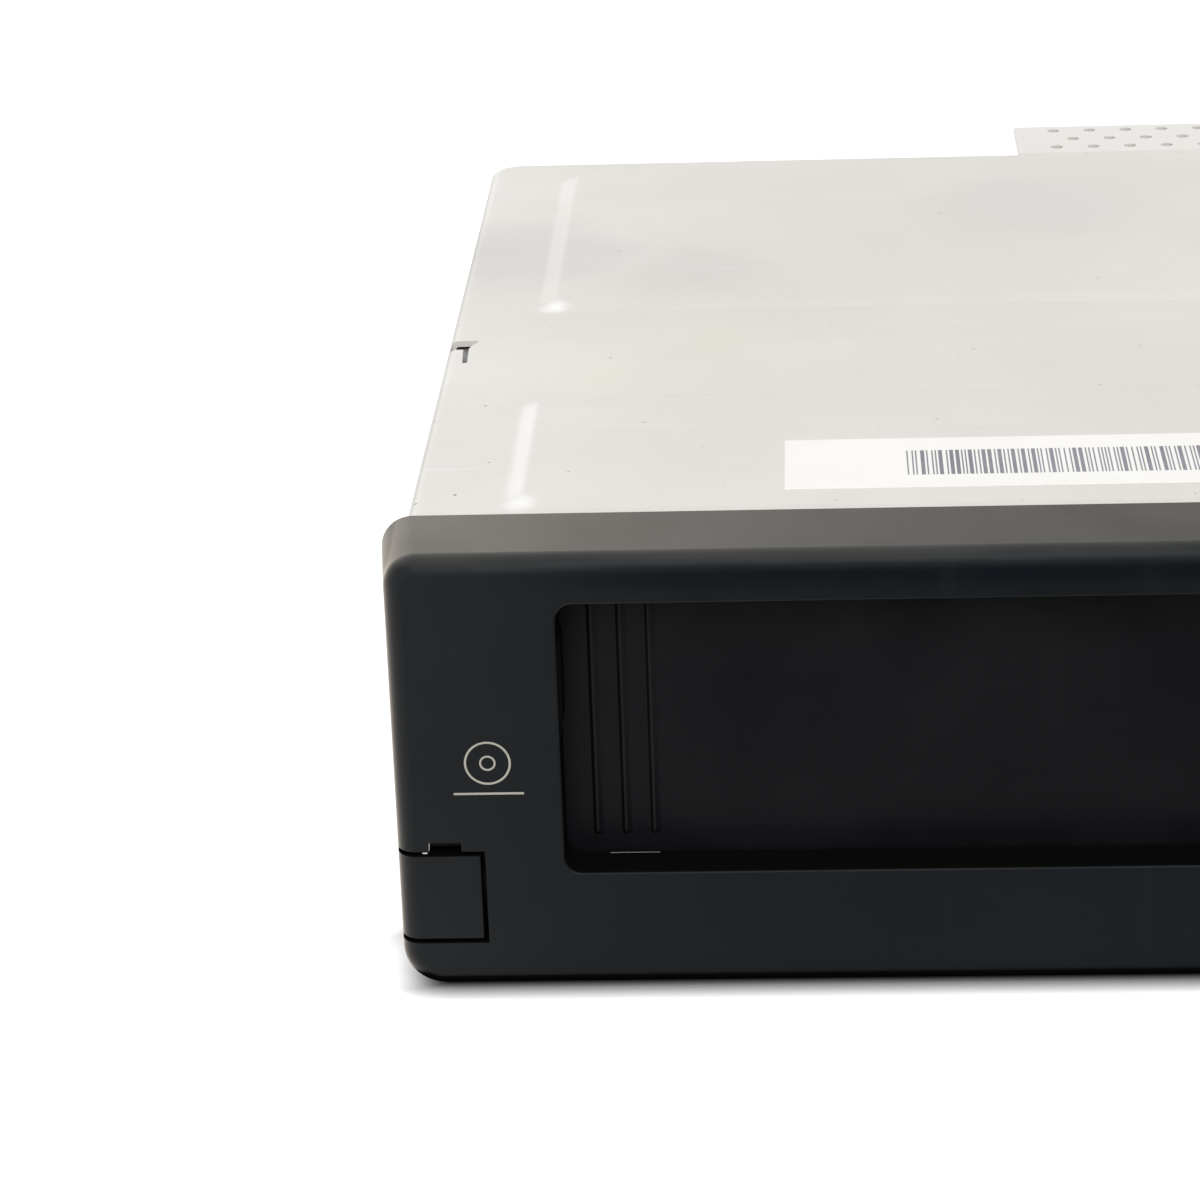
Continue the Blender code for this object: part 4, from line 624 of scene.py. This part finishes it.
def circuit_board(name, top_z):
    """Green board: lighter copper runs under the lacquer, tinned pads, and dark chips above top_z."""
    n = Nodes(name, (0.02, 0.12, 0.06), 0.35)
    runs = n.cells(180.0, n.stretched((1.0, 0.25, 0.0)))
    track = n.ramp(runs.outputs["Distance"], 0.28, 0.34)
    pads = n.ramp(n.cells(260.0).outputs["Distance"], 0.10, 0.16, 1.0, 0.0)
    base = n.mix(n.times(track, 0.8), (0.012, 0.085, 0.04), (0.03, 0.19, 0.08))
    base = n.mix(n.times(pads, 0.7), base, (0.55, 0.54, 0.50))
    chip = n.along("Z", top_z + CHIP_EDGE, top_z + 3 * CHIP_EDGE)
    n.colour(n.mix(chip, base, (0.012, 0.012, 0.013)))
    n.rough(n.ramp(n.noise(300.0, 2.0), 0.3, 0.7, 0.3, 0.5))
    n.bump(track, TRACK_BUMP, 0.5)
    return n.material


# The raised strip on the window's left wall: its front and rear, and how far it stands from the
# wall at each height
STRIP_DEPTH = (0.0007, 0.0058)
STRIP_LEVELS = ((0.0, 0.0350), (0.00025, 0.0362), (0.00042, 0.0372), (0.00042, 0.0484))
LIP_STEPS = 5


def bezel_outline(inset, flare=0.0):
    """The outline of the bezel; its lower corners are rounder than its upper ones."""
    low = (inset - flare, inset)
    high = (BEZEL_WIDTH - inset + flare, BEZEL_HEIGHT - inset)
    upper = rounded(low, high, BEZEL_CORNER - inset)
    lower = rounded(low, high, BEZEL_FOOT_CORNER - inset)
    return upper[:len(upper) // 2] + lower[len(lower) // 2:]


def make_bezel():
    """The bezel with a finely rounded front, the window's rolled lip and left strip, the cap's
    recess and the notch."""
    bm = bmesh.new()
    levels = [(bezel_outline(inset), depth) for inset, depth in quarter_round(BEZEL_ROUND, ROUND_STEPS)]
    levels.append((bezel_outline(0, BEZEL_FLARE), BEZEL_DEPTH - SMALL_BEVEL))
    loft(bm, "Y", levels + [(bezel_outline(SMALL_BEVEL, BEZEL_FLARE), BEZEL_DEPTH)])
    bezel = make("bezel_moulding", bm)
    bm = bmesh.new()
    prism(bm, "Y", bezel_outline(BEZEL_WALL), FACE_WALL, BEZEL_DEPTH + OVERRUN)
    combine(bezel, "DIFFERENCE", bm)
    bm = bmesh.new()
    prism(bm, "Y", grown(WINDOW, COLLAR_WALL, WINDOW_CORNER), FACE_WALL / 2, COLLAR_DEPTH)
    combine(bezel, "UNION", bm)
    bm = bmesh.new()
    levels = [(grown(WINDOW, WINDOW_LIP + OVERRUN, WINDOW_CORNER), -OVERRUN)]
    for grow, depth in quarter_round(WINDOW_LIP, LIP_STEPS):
        levels.append((grown(WINDOW, grow, WINDOW_CORNER), depth))
    loft(bm, "Y", levels + [(grown(WINDOW, 0, WINDOW_CORNER), COLLAR_DEPTH + OVERRUN)])
    combine(bezel, "DIFFERENCE", bm)
    bm = bmesh.new()
    low = (-OVERRUN, -OVERRUN, CAP_BOTTOM - CAP_GAP)
    block(bm, low, (CAP_WIDTH + CAP_GAP, CAP_WRAP + CAP_GAP, CAP_TOP + CAP_GAP))
    combine(bezel, "DIFFERENCE", bm)
    bm = bmesh.new()
    (left, bottom), (right, top) = NOTCH
    block(bm, (left, -OVERRUN, bottom), (right, NOTCH_DEPTH, top))
    combine(bezel, "DIFFERENCE", bm)
    bm = bmesh.new()
    left = WINDOW[0][0]
    sunk = left - OVERRUN / 2
    front, rear = STRIP_DEPTH
    levels = []
    for stand, z in STRIP_LEVELS:
        levels.append(([(sunk, front), (left + stand, front), (left + stand, rear), (sunk, rear)], z))
    loft(bm, "Z", levels)
    combine(bezel, "UNION", bm)
    shade(bezel)
    return bezel


def make_cap():
    """The cap, round at its front left edge, with the bezel's flare on its left side."""
    outline = quarter_round(BEZEL_ROUND, ROUND_STEPS)
    flare = BEZEL_FLARE * (CAP_WRAP - BEZEL_ROUND) / (BEZEL_DEPTH - BEZEL_ROUND)
    outline += [(-flare, CAP_WRAP), (CAP_WALL, CAP_WRAP), (CAP_WALL, FACE_WALL), (CAP_WIDTH, FACE_WALL)]
    outline += [(CAP_WIDTH, SMALL_BEVEL), (CAP_WIDTH - SMALL_BEVEL, 0)]
    bm = bmesh.new()
    prism(bm, "Z", outline, CAP_BOTTOM, CAP_TOP)
    cap = make("cap_moulding", bm)
    bevel(cap, CAP_BEVEL, CAP_BEVEL_ANGLE)
    settle(cap)
    shade(cap)
    return cap


# A rib's section, as shares of its width and height, steep on its left side. Its foot's levels
# are a share of its height and a lift above its bottom.
RIB_SECTION = (
    (0, 0), (0.07, 0.05), (0.17, 0.32), (0.24, 0.66), (0.29, 0.88), (0.34, 0.98), (0.40, 1.0),
    (0.48, 0.93), (0.60, 0.68), (0.74, 0.36), (0.87, 0.12), (0.95, 0.03), (1.0, 0),
)
RIB_FOOT = ((0.15, 0.0), (0.6, 0.00015), (0.9, 0.0004), (1.0, 0.0008))
RIB_ANGLE = math.radians(50)


def make_front_leaf():
    """The door's front leaf with its ribs, whose feet are rounded."""
    low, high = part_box("door_front_leaf")
    low, high = low - SHIFT, high - SHIFT
    bm = bmesh.new()
    block(bm, (low.x, DOOR_FRONT, low.z), (high.x, DOOR_FRONT + DOOR_THICK, high.z))
    leaf = make("door_leaf_ribbed", bm)
    rib_levels = [(share, RIB_BOTTOM + lift) for share, lift in RIB_FOOT] + [(1.0, WINDOW[1][1])]
    sunk = DOOR_FRONT + DOOR_THICK / 2
    for x in RIB_PLACES:
        bm = bmesh.new()
        levels = []
        for share, z in rib_levels:
            outline = [(x + RIB_WIDTH, sunk), (x, sunk)]
            outline += [(x + a * RIB_WIDTH, DOOR_FRONT - share * b * RIB_HEIGHT) for a, b in RIB_SECTION]
            levels.append((outline, z))
        loft(bm, "Z", levels)
        combine(leaf, "UNION", bm)
    shade(leaf, RIB_ANGLE)
    return leaf


def lines(low, high, zones, fine, coarse):
    """Places from low to high, fine apart inside the zones and coarse outside them."""
    stops = {low, high}
    for start, end in zones:
        stops |= {max(low, start), min(high, end)}
    stops = sorted(stops)
    result = [low]
    for start, end in zip(stops, stops[1:]):
        inside = any(a - FIT / 10 <= start and end <= b + FIT / 10 for a, b in zones)
        count = max(1, math.ceil((end - start) / (fine if inside else coarse)))
        result += [start + (end - start) * step / count for step in range(1, count + 1)]
    return result


PANEL_RIPPLE = 0.03
COARSE_GRID = 0.006
FINE_GRID = PANEL_SLOPE / 9
CORNER_LINES = 4
EDGE_STEPS = 8
SIDE_LINE = 0.030
COVER_ANGLE = math.radians(28)


def panel_lift(x, y):
    """How far the pressed panels stand above the sheet at a point."""
    lift = 0.0
    left, right = PANEL_MARGIN, BEZEL_WIDTH - PANEL_MARGIN
    for start, end in PANELS:
        qx = abs(x - (left + right) / 2) - (right - left) / 2 + PANEL_CORNER
        qy = abs(y - (start + end) / 2) - (end - start) / 2 + PANEL_CORNER
        inside = PANEL_CORNER - math.hypot(max(qx, 0), max(qy, 0)) - min(max(qx, qy), 0)
        share = min(1, max(0, inside / PANEL_SLOPE))
        ripple = PANEL_RIPPLE * math.sin(4 * math.pi * share)
        lift = max(lift, PANEL_RISE * (share * share * (3 - 2 * share) - ripple))
    return lift


def to_corner(x, y, low, high, radius):
    """Bends the square rear corners of a grid into round ones."""
    cy = high[1] - radius
    if y <= cy:
        return x, y
    for cx, way in ((low[0] + radius, -1), (high[0] - radius, 1)):
        u = (x - cx) * way / radius
        v = (y - cy) / radius
        if u > 0:
            bent_u = u * math.sqrt(1 - v * v / 2)
            bent_v = v * math.sqrt(1 - u * u / 2)
            return cx + way * radius * bent_u, cy + radius * bent_v
    return x, y


def outward(x, y, low, high, corner):
    """The direction away from the cover at a point of its rim, level with the floor."""
    dx = min(0, x - low[0] - corner) + max(0, x - high[0] + corner)
    dy = max(0, y - high[1] + corner)
    if dx and dy:
        return Vector((dx, dy, 0)).normalized()
    if dx:
        return Vector((math.copysign(1, dx), 0, 0))
    return Vector((0, 1, 0))


def cover_skin():
    """The cover's outer face as one open grid, with its rolled edges and skirts."""
    bm = bmesh.new()
    low = (CASE_LEFT + EDGE_ROUND, CASE_FRONT)
    high = (CASE_RIGHT - EDGE_ROUND, CASE_REAR - EDGE_ROUND)
    corner = CASE_CORNER - EDGE_ROUND
    bend = PANEL_CORNER + PANEL_SLOPE / 4
    left, right = PANEL_MARGIN, BEZEL_WIDTH - PANEL_MARGIN
    x_zones = [(left - FIT, left + bend), (right - bend, right + FIT)]
    y_zones = [(start - FIT, start + bend) for start, _ in PANELS]
    y_zones += [(end - bend, end + FIT) for _, end in PANELS]
    steps = [corner * k / CORNER_LINES for k in range(CORNER_LINES + 1)]
    xs = set(lines(low[0], high[0], x_zones, FINE_GRID, COARSE_GRID))
    ys = set(lines(low[1], high[1], y_zones, FINE_GRID, COARSE_GRID))
    xs = sorted(xs | {low[0] + step for step in steps} | {high[0] - step for step in steps})
    ys = sorted(ys | {high[1] - step for step in steps})
    grid = []
    for x in xs:
        column = []
        for y in ys:
            bent = to_corner(x, y, low, high, corner)
            column.append(bm.verts.new((*bent, CASE_TOP + panel_lift(x, y))))
        grid.append(column)
    for i in range(len(xs) - 1):
        for j in range(len(ys) - 1):
            bm.faces.new((grid[i][j], grid[i + 1][j], grid[i + 1][j + 1], grid[i][j + 1]))
    rim = grid[0] + [column[-1] for column in grid[1:-1]] + grid[-1][::-1]
    outwards = [outward(vert.co.x, vert.co.y, low, high, corner) for vert in rim]
    drops = []
    for step in range(1, EDGE_STEPS + 1):
        angle = step / EDGE_STEPS * math.pi / 2
        drops.append((EDGE_ROUND * math.sin(angle), EDGE_ROUND * (1 - math.cos(angle))))
    drops += [(EDGE_ROUND, CASE_TOP - SIDE_LINE), (EDGE_ROUND, CASE_TOP - SKIRT)]
    rings = [rim]
    for out, drop in drops:
        ring = []
        for vert, away in zip(rim, outwards):
            ring.append(bm.verts.new(Vector((vert.co.x, vert.co.y, CASE_TOP - drop)) + out * away))
        rings.append(ring)
    for upper, lower in zip(rings, rings[1:]):
        for k in range(len(rim) - 1):
            bm.faces.new((upper[k], upper[k + 1], lower[k + 1], lower[k]))
    bmesh.ops.translate(bm, vec=SHIFT, verts=bm.verts)
    mesh = bpy.data.meshes.new("cover_pressing")
    bm.to_mesh(mesh)
    bm.free()
    cover = bpy.data.objects.new("cover_pressing", mesh)
    bpy.context.scene.collection.objects.link(cover)
    solid = cover.modifiers.new("sheet", "SOLIDIFY")
    solid.thickness = SHEET
    solid.offset = -1
    settle(cover)
    return cover


# The tongue's levels are an inset and a height from the cover's top.
TONGUE_LEVELS = ((0.0002, -0.0009), (0.0, -0.0007), (0.0, -0.00022), (0.0002, -0.00002))
TONGUE_CORNER = 0.0006
TONGUE_STEPS = 4
VENT_SIDES = 20
HOLE_SIDES = 40
SIDE_HOLES = [(centre, NUT_BORE) for centre in NUT_PLACES]
SIDE_HOLES += [(DIAL_PLACE, DIAL_HOLE)]
SIDE_HOLES += [(centre, SCREW_HOLE) for centre in SCREW_PLACES]
HOOK_SLOT = (
    (0.0021, 0.0864), (0.0040, 0.0864), (0.0043, 0.0803), (0.0050, 0.0803), (0.0048, 0.0868),
    (0.0053, 0.0886), (0.0060, 0.0898), (0.0059, 0.0904), (0.0021, 0.0904),
)


def make_cover():
    """The cover with its tongue and vents, its hook slot and the holes in its sides."""
    cover = cover_skin()
    bm = bmesh.new()
    levels = []
    for inset, z in TONGUE_LEVELS:
        low = (TONGUE[0] + inset, CASE_REAR - SHEET - EDGE_ROUND)
        high = (TONGUE[1] - inset, TOTAL_DEPTH - inset)
        levels.append((rounded(low, high, TONGUE_CORNER, TONGUE_STEPS), CASE_TOP + z))
    loft(bm, "Z", levels)
    combine(cover, "UNION", bm)
    bm = bmesh.new()
    for row, y in enumerate(VENT_ROWS):
        stagger = VENT_PITCH / 2 * (row % 2)
        first = TONGUE[0] + VENT_MARGIN + stagger
        count = int((TONGUE[1] - TONGUE[0] - 2 * VENT_MARGIN - stagger) / VENT_PITCH) + 1
        for hole in range(count):
            outline = circle((first + hole * VENT_PITCH, y), VENT_RADIUS, VENT_SIDES)
            prism(bm, "Z", outline, CASE_TOP - OVERRUN, CASE_TOP + OVERRUN)
    combine(cover, "DIFFERENCE", bm)
    bm = bmesh.new()
    prism(bm, "Z", HOOK_SLOT, CASE_TOP - 2 * SHEET, CASE_TOP + OVERRUN)
    combine(cover, "DIFFERENCE", bm)
    bm = bmesh.new()
    for side in (CASE_LEFT, CASE_RIGHT):
        for centre, radius in SIDE_HOLES:
            prism(bm, "X", circle(centre, radius, HOLE_SIDES), side - OVERRUN, side + OVERRUN)
    combine(cover, "DIFFERENCE", bm)
    shade(cover, COVER_ANGLE)
    return cover


# The label, and its bars as measured from its front left corner
LABEL_SINK = 0.00002
LABEL_THICK = 0.00018
LABEL_ROUND = 0.00005
BARS_START = 0.0161
BARS_END_MARGIN = 0.006
BARS_DEPTH = (0.0043, 0.0136)
BARS_PROUD = 0.000012
BAR_WIDTHS = (0.00019, 0.00019, 0.00052)
BAR_GAPS = (0.00026, 0.00026, 0.00036, 0.0005)
BAR_SEED = 11


def make_label():
    """The label with rounded corners, and bars of a few generic widths as thin raised ink."""
    low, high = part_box("product_label")
    low, high = low - SHIFT, high - SHIFT
    low.z = CASE_TOP + PANEL_RISE - LABEL_SINK
    high.z = low.z + LABEL_THICK
    bm = bmesh.new()
    soft_block(bm, low, high, LABEL_ROUND)
    label = make("label_sheet", bm)
    shade(label)
    draw = random.Random(BAR_SEED)
    bm = bmesh.new()
    x = low.x + BARS_START
    front, rear = (low.y + depth for depth in BARS_DEPTH)
    while x < high.x - BARS_END_MARGIN:
        width = draw.choice(BAR_WIDTHS)
        block(bm, (x, front, high.z - LABEL_SINK), (x + width, rear, high.z + BARS_PROUD))
        x += width + draw.choice(BAR_GAPS)
    bars = make("label_bars", bm)
    return label, bars


# The mark's centre, the outer and inner radius of its two rings, and its line
MARK_CENTRE = (0.0123, 0.0321)
MARK_RINGS = ((0.0030, 0.00272), (0.00105, 0.00080))
MARK_SIDES = 64
MARK_LINE = ((0.0078, 0.0277), (0.0168, 0.0280))


def make_disc_mark():
    """A small generic disc outline over a short line, printed where the bezel has its mark."""
    bm = bmesh.new()
    for outer, inner in MARK_RINGS:
        rings = []
        for radius, y in ((outer, -INK), (inner, -INK), (inner, 2 * INK), (outer, 2 * INK)):
            rings.append([bm.verts.new((a, y, b)) for a, b in circle(MARK_CENTRE, radius, MARK_SIDES)])
        for ring, following in zip(rings, rings[1:] + rings[:1]):
            for k in range(MARK_SIDES):
                j = (k + 1) % MARK_SIDES
                bm.faces.new((ring[k], ring[j], following[j], following[k]))
    (left, bottom), (right, top) = MARK_LINE
    block(bm, (left, -INK, bottom), (right, 2 * INK, top))
    return make("disc_mark", bm)


def make_block(name, low, high, radius):
    bm = bmesh.new()
    soft_block(bm, low, high, radius)
    return make(name, bm)


def round_edges(names):
    """Small bevels on carried-over CAD nodes, whose corners come split from the file."""
    for name in names:
        node = nodes[name]
        weld = node.modifiers.new("weld", "WELD")
        weld.merge_threshold = NODE_WELD
        bevel(node, NODE_BEVEL, NODE_BEVEL_ANGLE)
        weighted = node.modifiers.new("flat_faces", "WEIGHTED_NORMAL")
        weighted.keep_sharp = True


bezel_black = bezel_plastic("bezel_plastic", (SHADED_WINDOW_WALLS, SHADED_RECESS, SHADED_UNDERSIDE))
cap_black = bezel_plastic("cap_plastic", SHADED_CAP_SIDES)
door_black = black_plastic("door_plastic", *DOOR_FINISH)
ribbed_black = ribbed_plastic("ribbed_plastic")
INNER_FINISH = ((0.012, 0.012, 0.013), (0.018, 0.018, 0.019), 0.55, 3000.0)
MAGAZINE_FINISH = ((0.016, 0.017, 0.019), (0.024, 0.025, 0.027), 0.45, 3600.0)
CHIP_HEIGHT = 0.0020
inner_black = black_plastic("inner_plastic", *INNER_FINISH)
magazine_black = black_plastic("magazine_plastic", *MAGAZINE_FINISH)
sheet = cover_sheet("zinc_sheet")
steel = brushed_metal("rolled_steel", (0.62, 0.62, 0.61), (0.42, 0.42, 0.41), 0.34)
dull_steel = brushed_metal("dull_steel", (0.30, 0.30, 0.29), (0.20, 0.20, 0.20), 0.5)
brass = brushed_metal("turned_brass", (0.78, 0.60, 0.32), (0.50, 0.38, 0.20), 0.30, (1.0, 1.0, 0.1))
tray_grey = matt("tray_plastic", (0.20, 0.20, 0.21), (0.27, 0.27, 0.28), 0.45)
nylon = matt("white_nylon", (0.78, 0.77, 0.72), (0.84, 0.83, 0.79), 0.42)
rubber = matt("damper_rubber", (0.022, 0.022, 0.023), (0.035, 0.035, 0.036), 0.75)
ribbon = matt("ribbon_film", (0.80, 0.80, 0.76), (0.88, 0.87, 0.84), 0.35)
lens_look = matt("lens_glass", (0.10, 0.14, 0.30), (0.16, 0.22, 0.42), 0.06)
label_paper = paper("label_paper")
ink = matt("bar_ink", (0.21, 0.20, 0.24), (0.29, 0.275, 0.32), 0.6)
mark_ink = matt("mark_ink", (0.42, 0.40, 0.34), (0.50, 0.48, 0.42), 0.55)
board = circuit_board("board_lacquer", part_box("main_board")[1].z - CHIP_HEIGHT)

looks = {
    "door_rear_leaf": door_black,
    "door_rail_lower": inner_black,
    "door_rail_upper": inner_black,
    "mouth_frame": inner_black,
    "eject_button": tray_grey,
    "lower_chassis": steel,
    "rear_housing": sheet,
    "rear_socket": inner_black,
    "socket_pins": brass,
    "magazine_case": magazine_black,
    "magazine_guide": inner_black,
    "turntable": inner_black,
    "optical_pickup": inner_black,
    "pickup_lens": lens_look,
    "main_board": board,
    "ribbon_cable": ribbon,
    "lift_gear": nylon,
    "clamp_puck": nylon,
    "lift_worm": brass,
    "lead_screw": brass,
    "angle_dial_left": inner_black,
    "angle_dial_right": inner_black,
}
looks.update({f"disc_tray_{k}": tray_grey for k in range(1, 7)})
looks.update({f"rubber_damper_{k}": rubber for k in range(1, 5)})
looks.update({f"mounting_nut_{k}": brass for k in range(1, 5)})
for name, node in nodes.items():
    node.data.materials.clear()
    node.data.materials.append(looks.get(name, steel))
round_edges(("rear_housing", "rear_socket", "mouth_frame", "eject_button", "door_rear_leaf"))
round_edges([f"cover_screw_{k}" for k in range(1, 5)])
round_edges(("magazine_case", "angle_dial_left", "angle_dial_right"))

# Small blocks: low corner, high corner and radius
# Painted glint: a pale nylon fleck in the cap's top gap stands in for light seen through the gap.
GAP_GLINT = ((0.0033, 0.0002, 0.01935), (0.0040, 0.0009, 0.0198), 0.00006)
# Painted glint: a thin steel strip along the window's sill stands in for a line of light.
SILL_GLINT = ((0.0272, 0.0058, 0.0163), (0.0337, 0.0060, 0.01656), 0.00003)
SLOT_BACKING = ((0.0030, 0.0785, 0.0573), (0.0068, 0.0912, 0.0577), 0.00006)

dress(make_bezel(), "housing", bezel_black, ["front_bezel"])
dress(make_cap(), "cap", cap_black, ["corner_cap"])
dress(make_block("cap_gap_glint", *GAP_GLINT), "housing", nylon)
dress(make_block("sill_glint", *SILL_GLINT), "housing", dull_steel)
dress(make_front_leaf(), "door_front", ribbed_black, ["door_front_leaf"])
dress(make_cover(), "housing", sheet, ["top_cover"])
dress(make_block("slot_backing", *SLOT_BACKING), "housing", tray_grey)
label, bars = make_label()
dress(label, "housing", label_paper, ["product_label"])
dress(bars, "housing", ink)
dress(make_disc_mark(), "housing", mark_ink)

# Camera, from the fit of the photograph's corners
LENS_MM = 119.94
SENSOR_MM = 36.0
CLIP_START = 0.01
EYE = Vector((0.05401, -0.46376, 0.23999)) + SHIFT
AHEAD = Vector((-0.0531, 0.92701, -0.37127)).normalized()
RIGHT = Vector((0.99846, 0.04329, -0.0347))
RIGHT = (RIGHT - AHEAD * RIGHT.dot(AHEAD)).normalized()
camera_data = bpy.data.cameras.new("camera")
camera_data.lens = LENS_MM
camera_data.sensor_width = SENSOR_MM
camera_data.clip_start = CLIP_START
camera = bpy.data.objects.new("camera", camera_data)
turn = Matrix((RIGHT, RIGHT.cross(AHEAD), -AHEAD)).transposed()
camera.matrix_world = Matrix.Translation(EYE) @ turn.to_4x4()
bpy.context.scene.collection.objects.link(camera)
bpy.context.scene.camera = camera


# Light levels. The floor's glossy look is a painted glow seen only in reflections: a ramp from far to
# near in front of the object, with a brighter part on the left and one behind, up to white. Its painted
# contact shade is that of the gap under the object.
WORLD_LEVEL = 0.54
FLOOR_GLOW = 0.80
FLOOR_HALF = 3.0
FLOOR_THICK = 0.02
FLOOR_LIT = (0.55, 0.55, 0.55)
FLOOR_SHADE = (0.06, 0.06, 0.065)
MIRRORED_FAR = 0.06
MIRRORED_NEAR = 0.60
MIRRORED_LEFT = 0.90
FRONT_SPAN = (-0.11, 0.0)
LEFT_SPAN = (-0.035, 0.032)
BEHIND_SPAN = (0.10, 0.30)
CONTACT_REACH = 0.0045
CONTACT_POWER = 2.3
CONTACT_CLEAR = (("X", 0.006, -0.004), ("Y", 0.030, 0.008))

# Lamps: place, size and power. All of them aim at the same point.
LAMP_TARGET = (-0.05, 0.0, 0.03)
LAMPS = {
    "key": ((-2.162, 2.438, 3.022), 2.8, 37.0),
    "low": ((-0.716, 2.22, 0.649), 0.94, 1.8),
    "fill": ((0.406, -2.28, 1.923), 2.0, 50.0),
}


def make_floor():
    """White where it is seen, with painted contact shade. In reflections it is a painted glow, brightest
    behind and to the left of the object and dim in front, where the room is."""
    bm = bmesh.new()
    block(bm, (-FLOOR_HALF, -FLOOR_HALF, -FLOOR_THICK), (FLOOR_HALF, FLOOR_HALF, 0.0))
    mesh = bpy.data.meshes.new("floor")
    bm.to_mesh(mesh)
    bm.free()
    floor = bpy.data.objects.new("floor", mesh)
    bpy.context.scene.collection.objects.link(floor)
    n = Nodes("floor", (1, 1, 1), 1.0)
    path = n.tree.nodes.new("ShaderNodeLightPath")
    near = n.tree.nodes.new("ShaderNodeAmbientOcclusion")
    near.inputs["Distance"].default_value = CONTACT_REACH
    contact = n.math("POWER", near.outputs["AO"], CONTACT_POWER)
    contact = n.math("MAXIMUM", contact, n.zone(CONTACT_CLEAR))
    diffuse = n.node("ShaderNodeBsdfDiffuse", Color=n.mix(contact, FLOOR_SHADE, FLOOR_LIT))
    seen = n.times(path.outputs["Is Camera Ray"], FLOOR_GLOW)
    glow = n.node("ShaderNodeEmission", Strength=n.times(seen, contact))
    front = n.along("Y", *FRONT_SPAN, MIRRORED_FAR, MIRRORED_NEAR)
    left = n.along("X", *LEFT_SPAN, MIRRORED_LEFT, 0.0)
    behind = n.along("Y", *BEHIND_SPAN)
    mirrored = n.math("MINIMUM", n.math("ADD", front, left, behind), 1.0)
    mirror = n.node("ShaderNodeEmission", Strength=n.times(mirrored, contact))
    total = n.tree.nodes.new("ShaderNodeAddShader")
    n.feed(total.inputs[0], diffuse.outputs[0])
    n.feed(total.inputs[1], glow.outputs[0])
    surface = n.node("ShaderNodeMixShader", Fac=path.outputs["Is Glossy Ray"])
    n.feed(surface.inputs[1], total.outputs[0])
    n.feed(surface.inputs[2], mirror.outputs[0])
    n.feed(n.tree.nodes["Material Output"].inputs["Surface"], surface.outputs[0])
    n.tree.nodes.remove(n.shader)
    floor.data.materials.append(n.material)


def make_world():
    """White where it is seen or mirrored, and a plain level as light on surfaces."""
    world = bpy.data.worlds.new("studio")
    world.use_nodes = True
    tree = world.node_tree
    background = tree.nodes["Background"]
    background.inputs["Color"].default_value = (1, 1, 1, 1)
    path = tree.nodes.new("ShaderNodeLightPath")
    seen = tree.nodes.new("ShaderNodeMath")
    seen.operation = "MAXIMUM"
    tree.links.new(path.outputs["Is Camera Ray"], seen.inputs[0])
    tree.links.new(path.outputs["Is Glossy Ray"], seen.inputs[1])
    level = tree.nodes.new("ShaderNodeMapRange")
    level.inputs["To Min"].default_value = WORLD_LEVEL
    level.inputs["To Max"].default_value = 1.0
    tree.links.new(seen.outputs[0], level.inputs["Value"])
    tree.links.new(level.outputs["Result"], background.inputs["Strength"])
    bpy.context.scene.world = world


def make_lamp(name, place_at, size, power):
    data = bpy.data.lights.new(name, "AREA")
    data.shape = "DISK"
    data.size = size
    data.energy = power
    lamp = bpy.data.objects.new(name, data)
    lamp.location = Vector(place_at)
    aim = Vector(LAMP_TARGET) - lamp.location
    lamp.rotation_euler = aim.to_track_quat("-Z", "Y").to_euler()
    bpy.context.scene.collection.objects.link(lamp)


make_world()
make_floor()
for name, lamp in LAMPS.items():
    make_lamp(name, *lamp)
bpy.context.scene.view_settings.view_transform = "Standard"
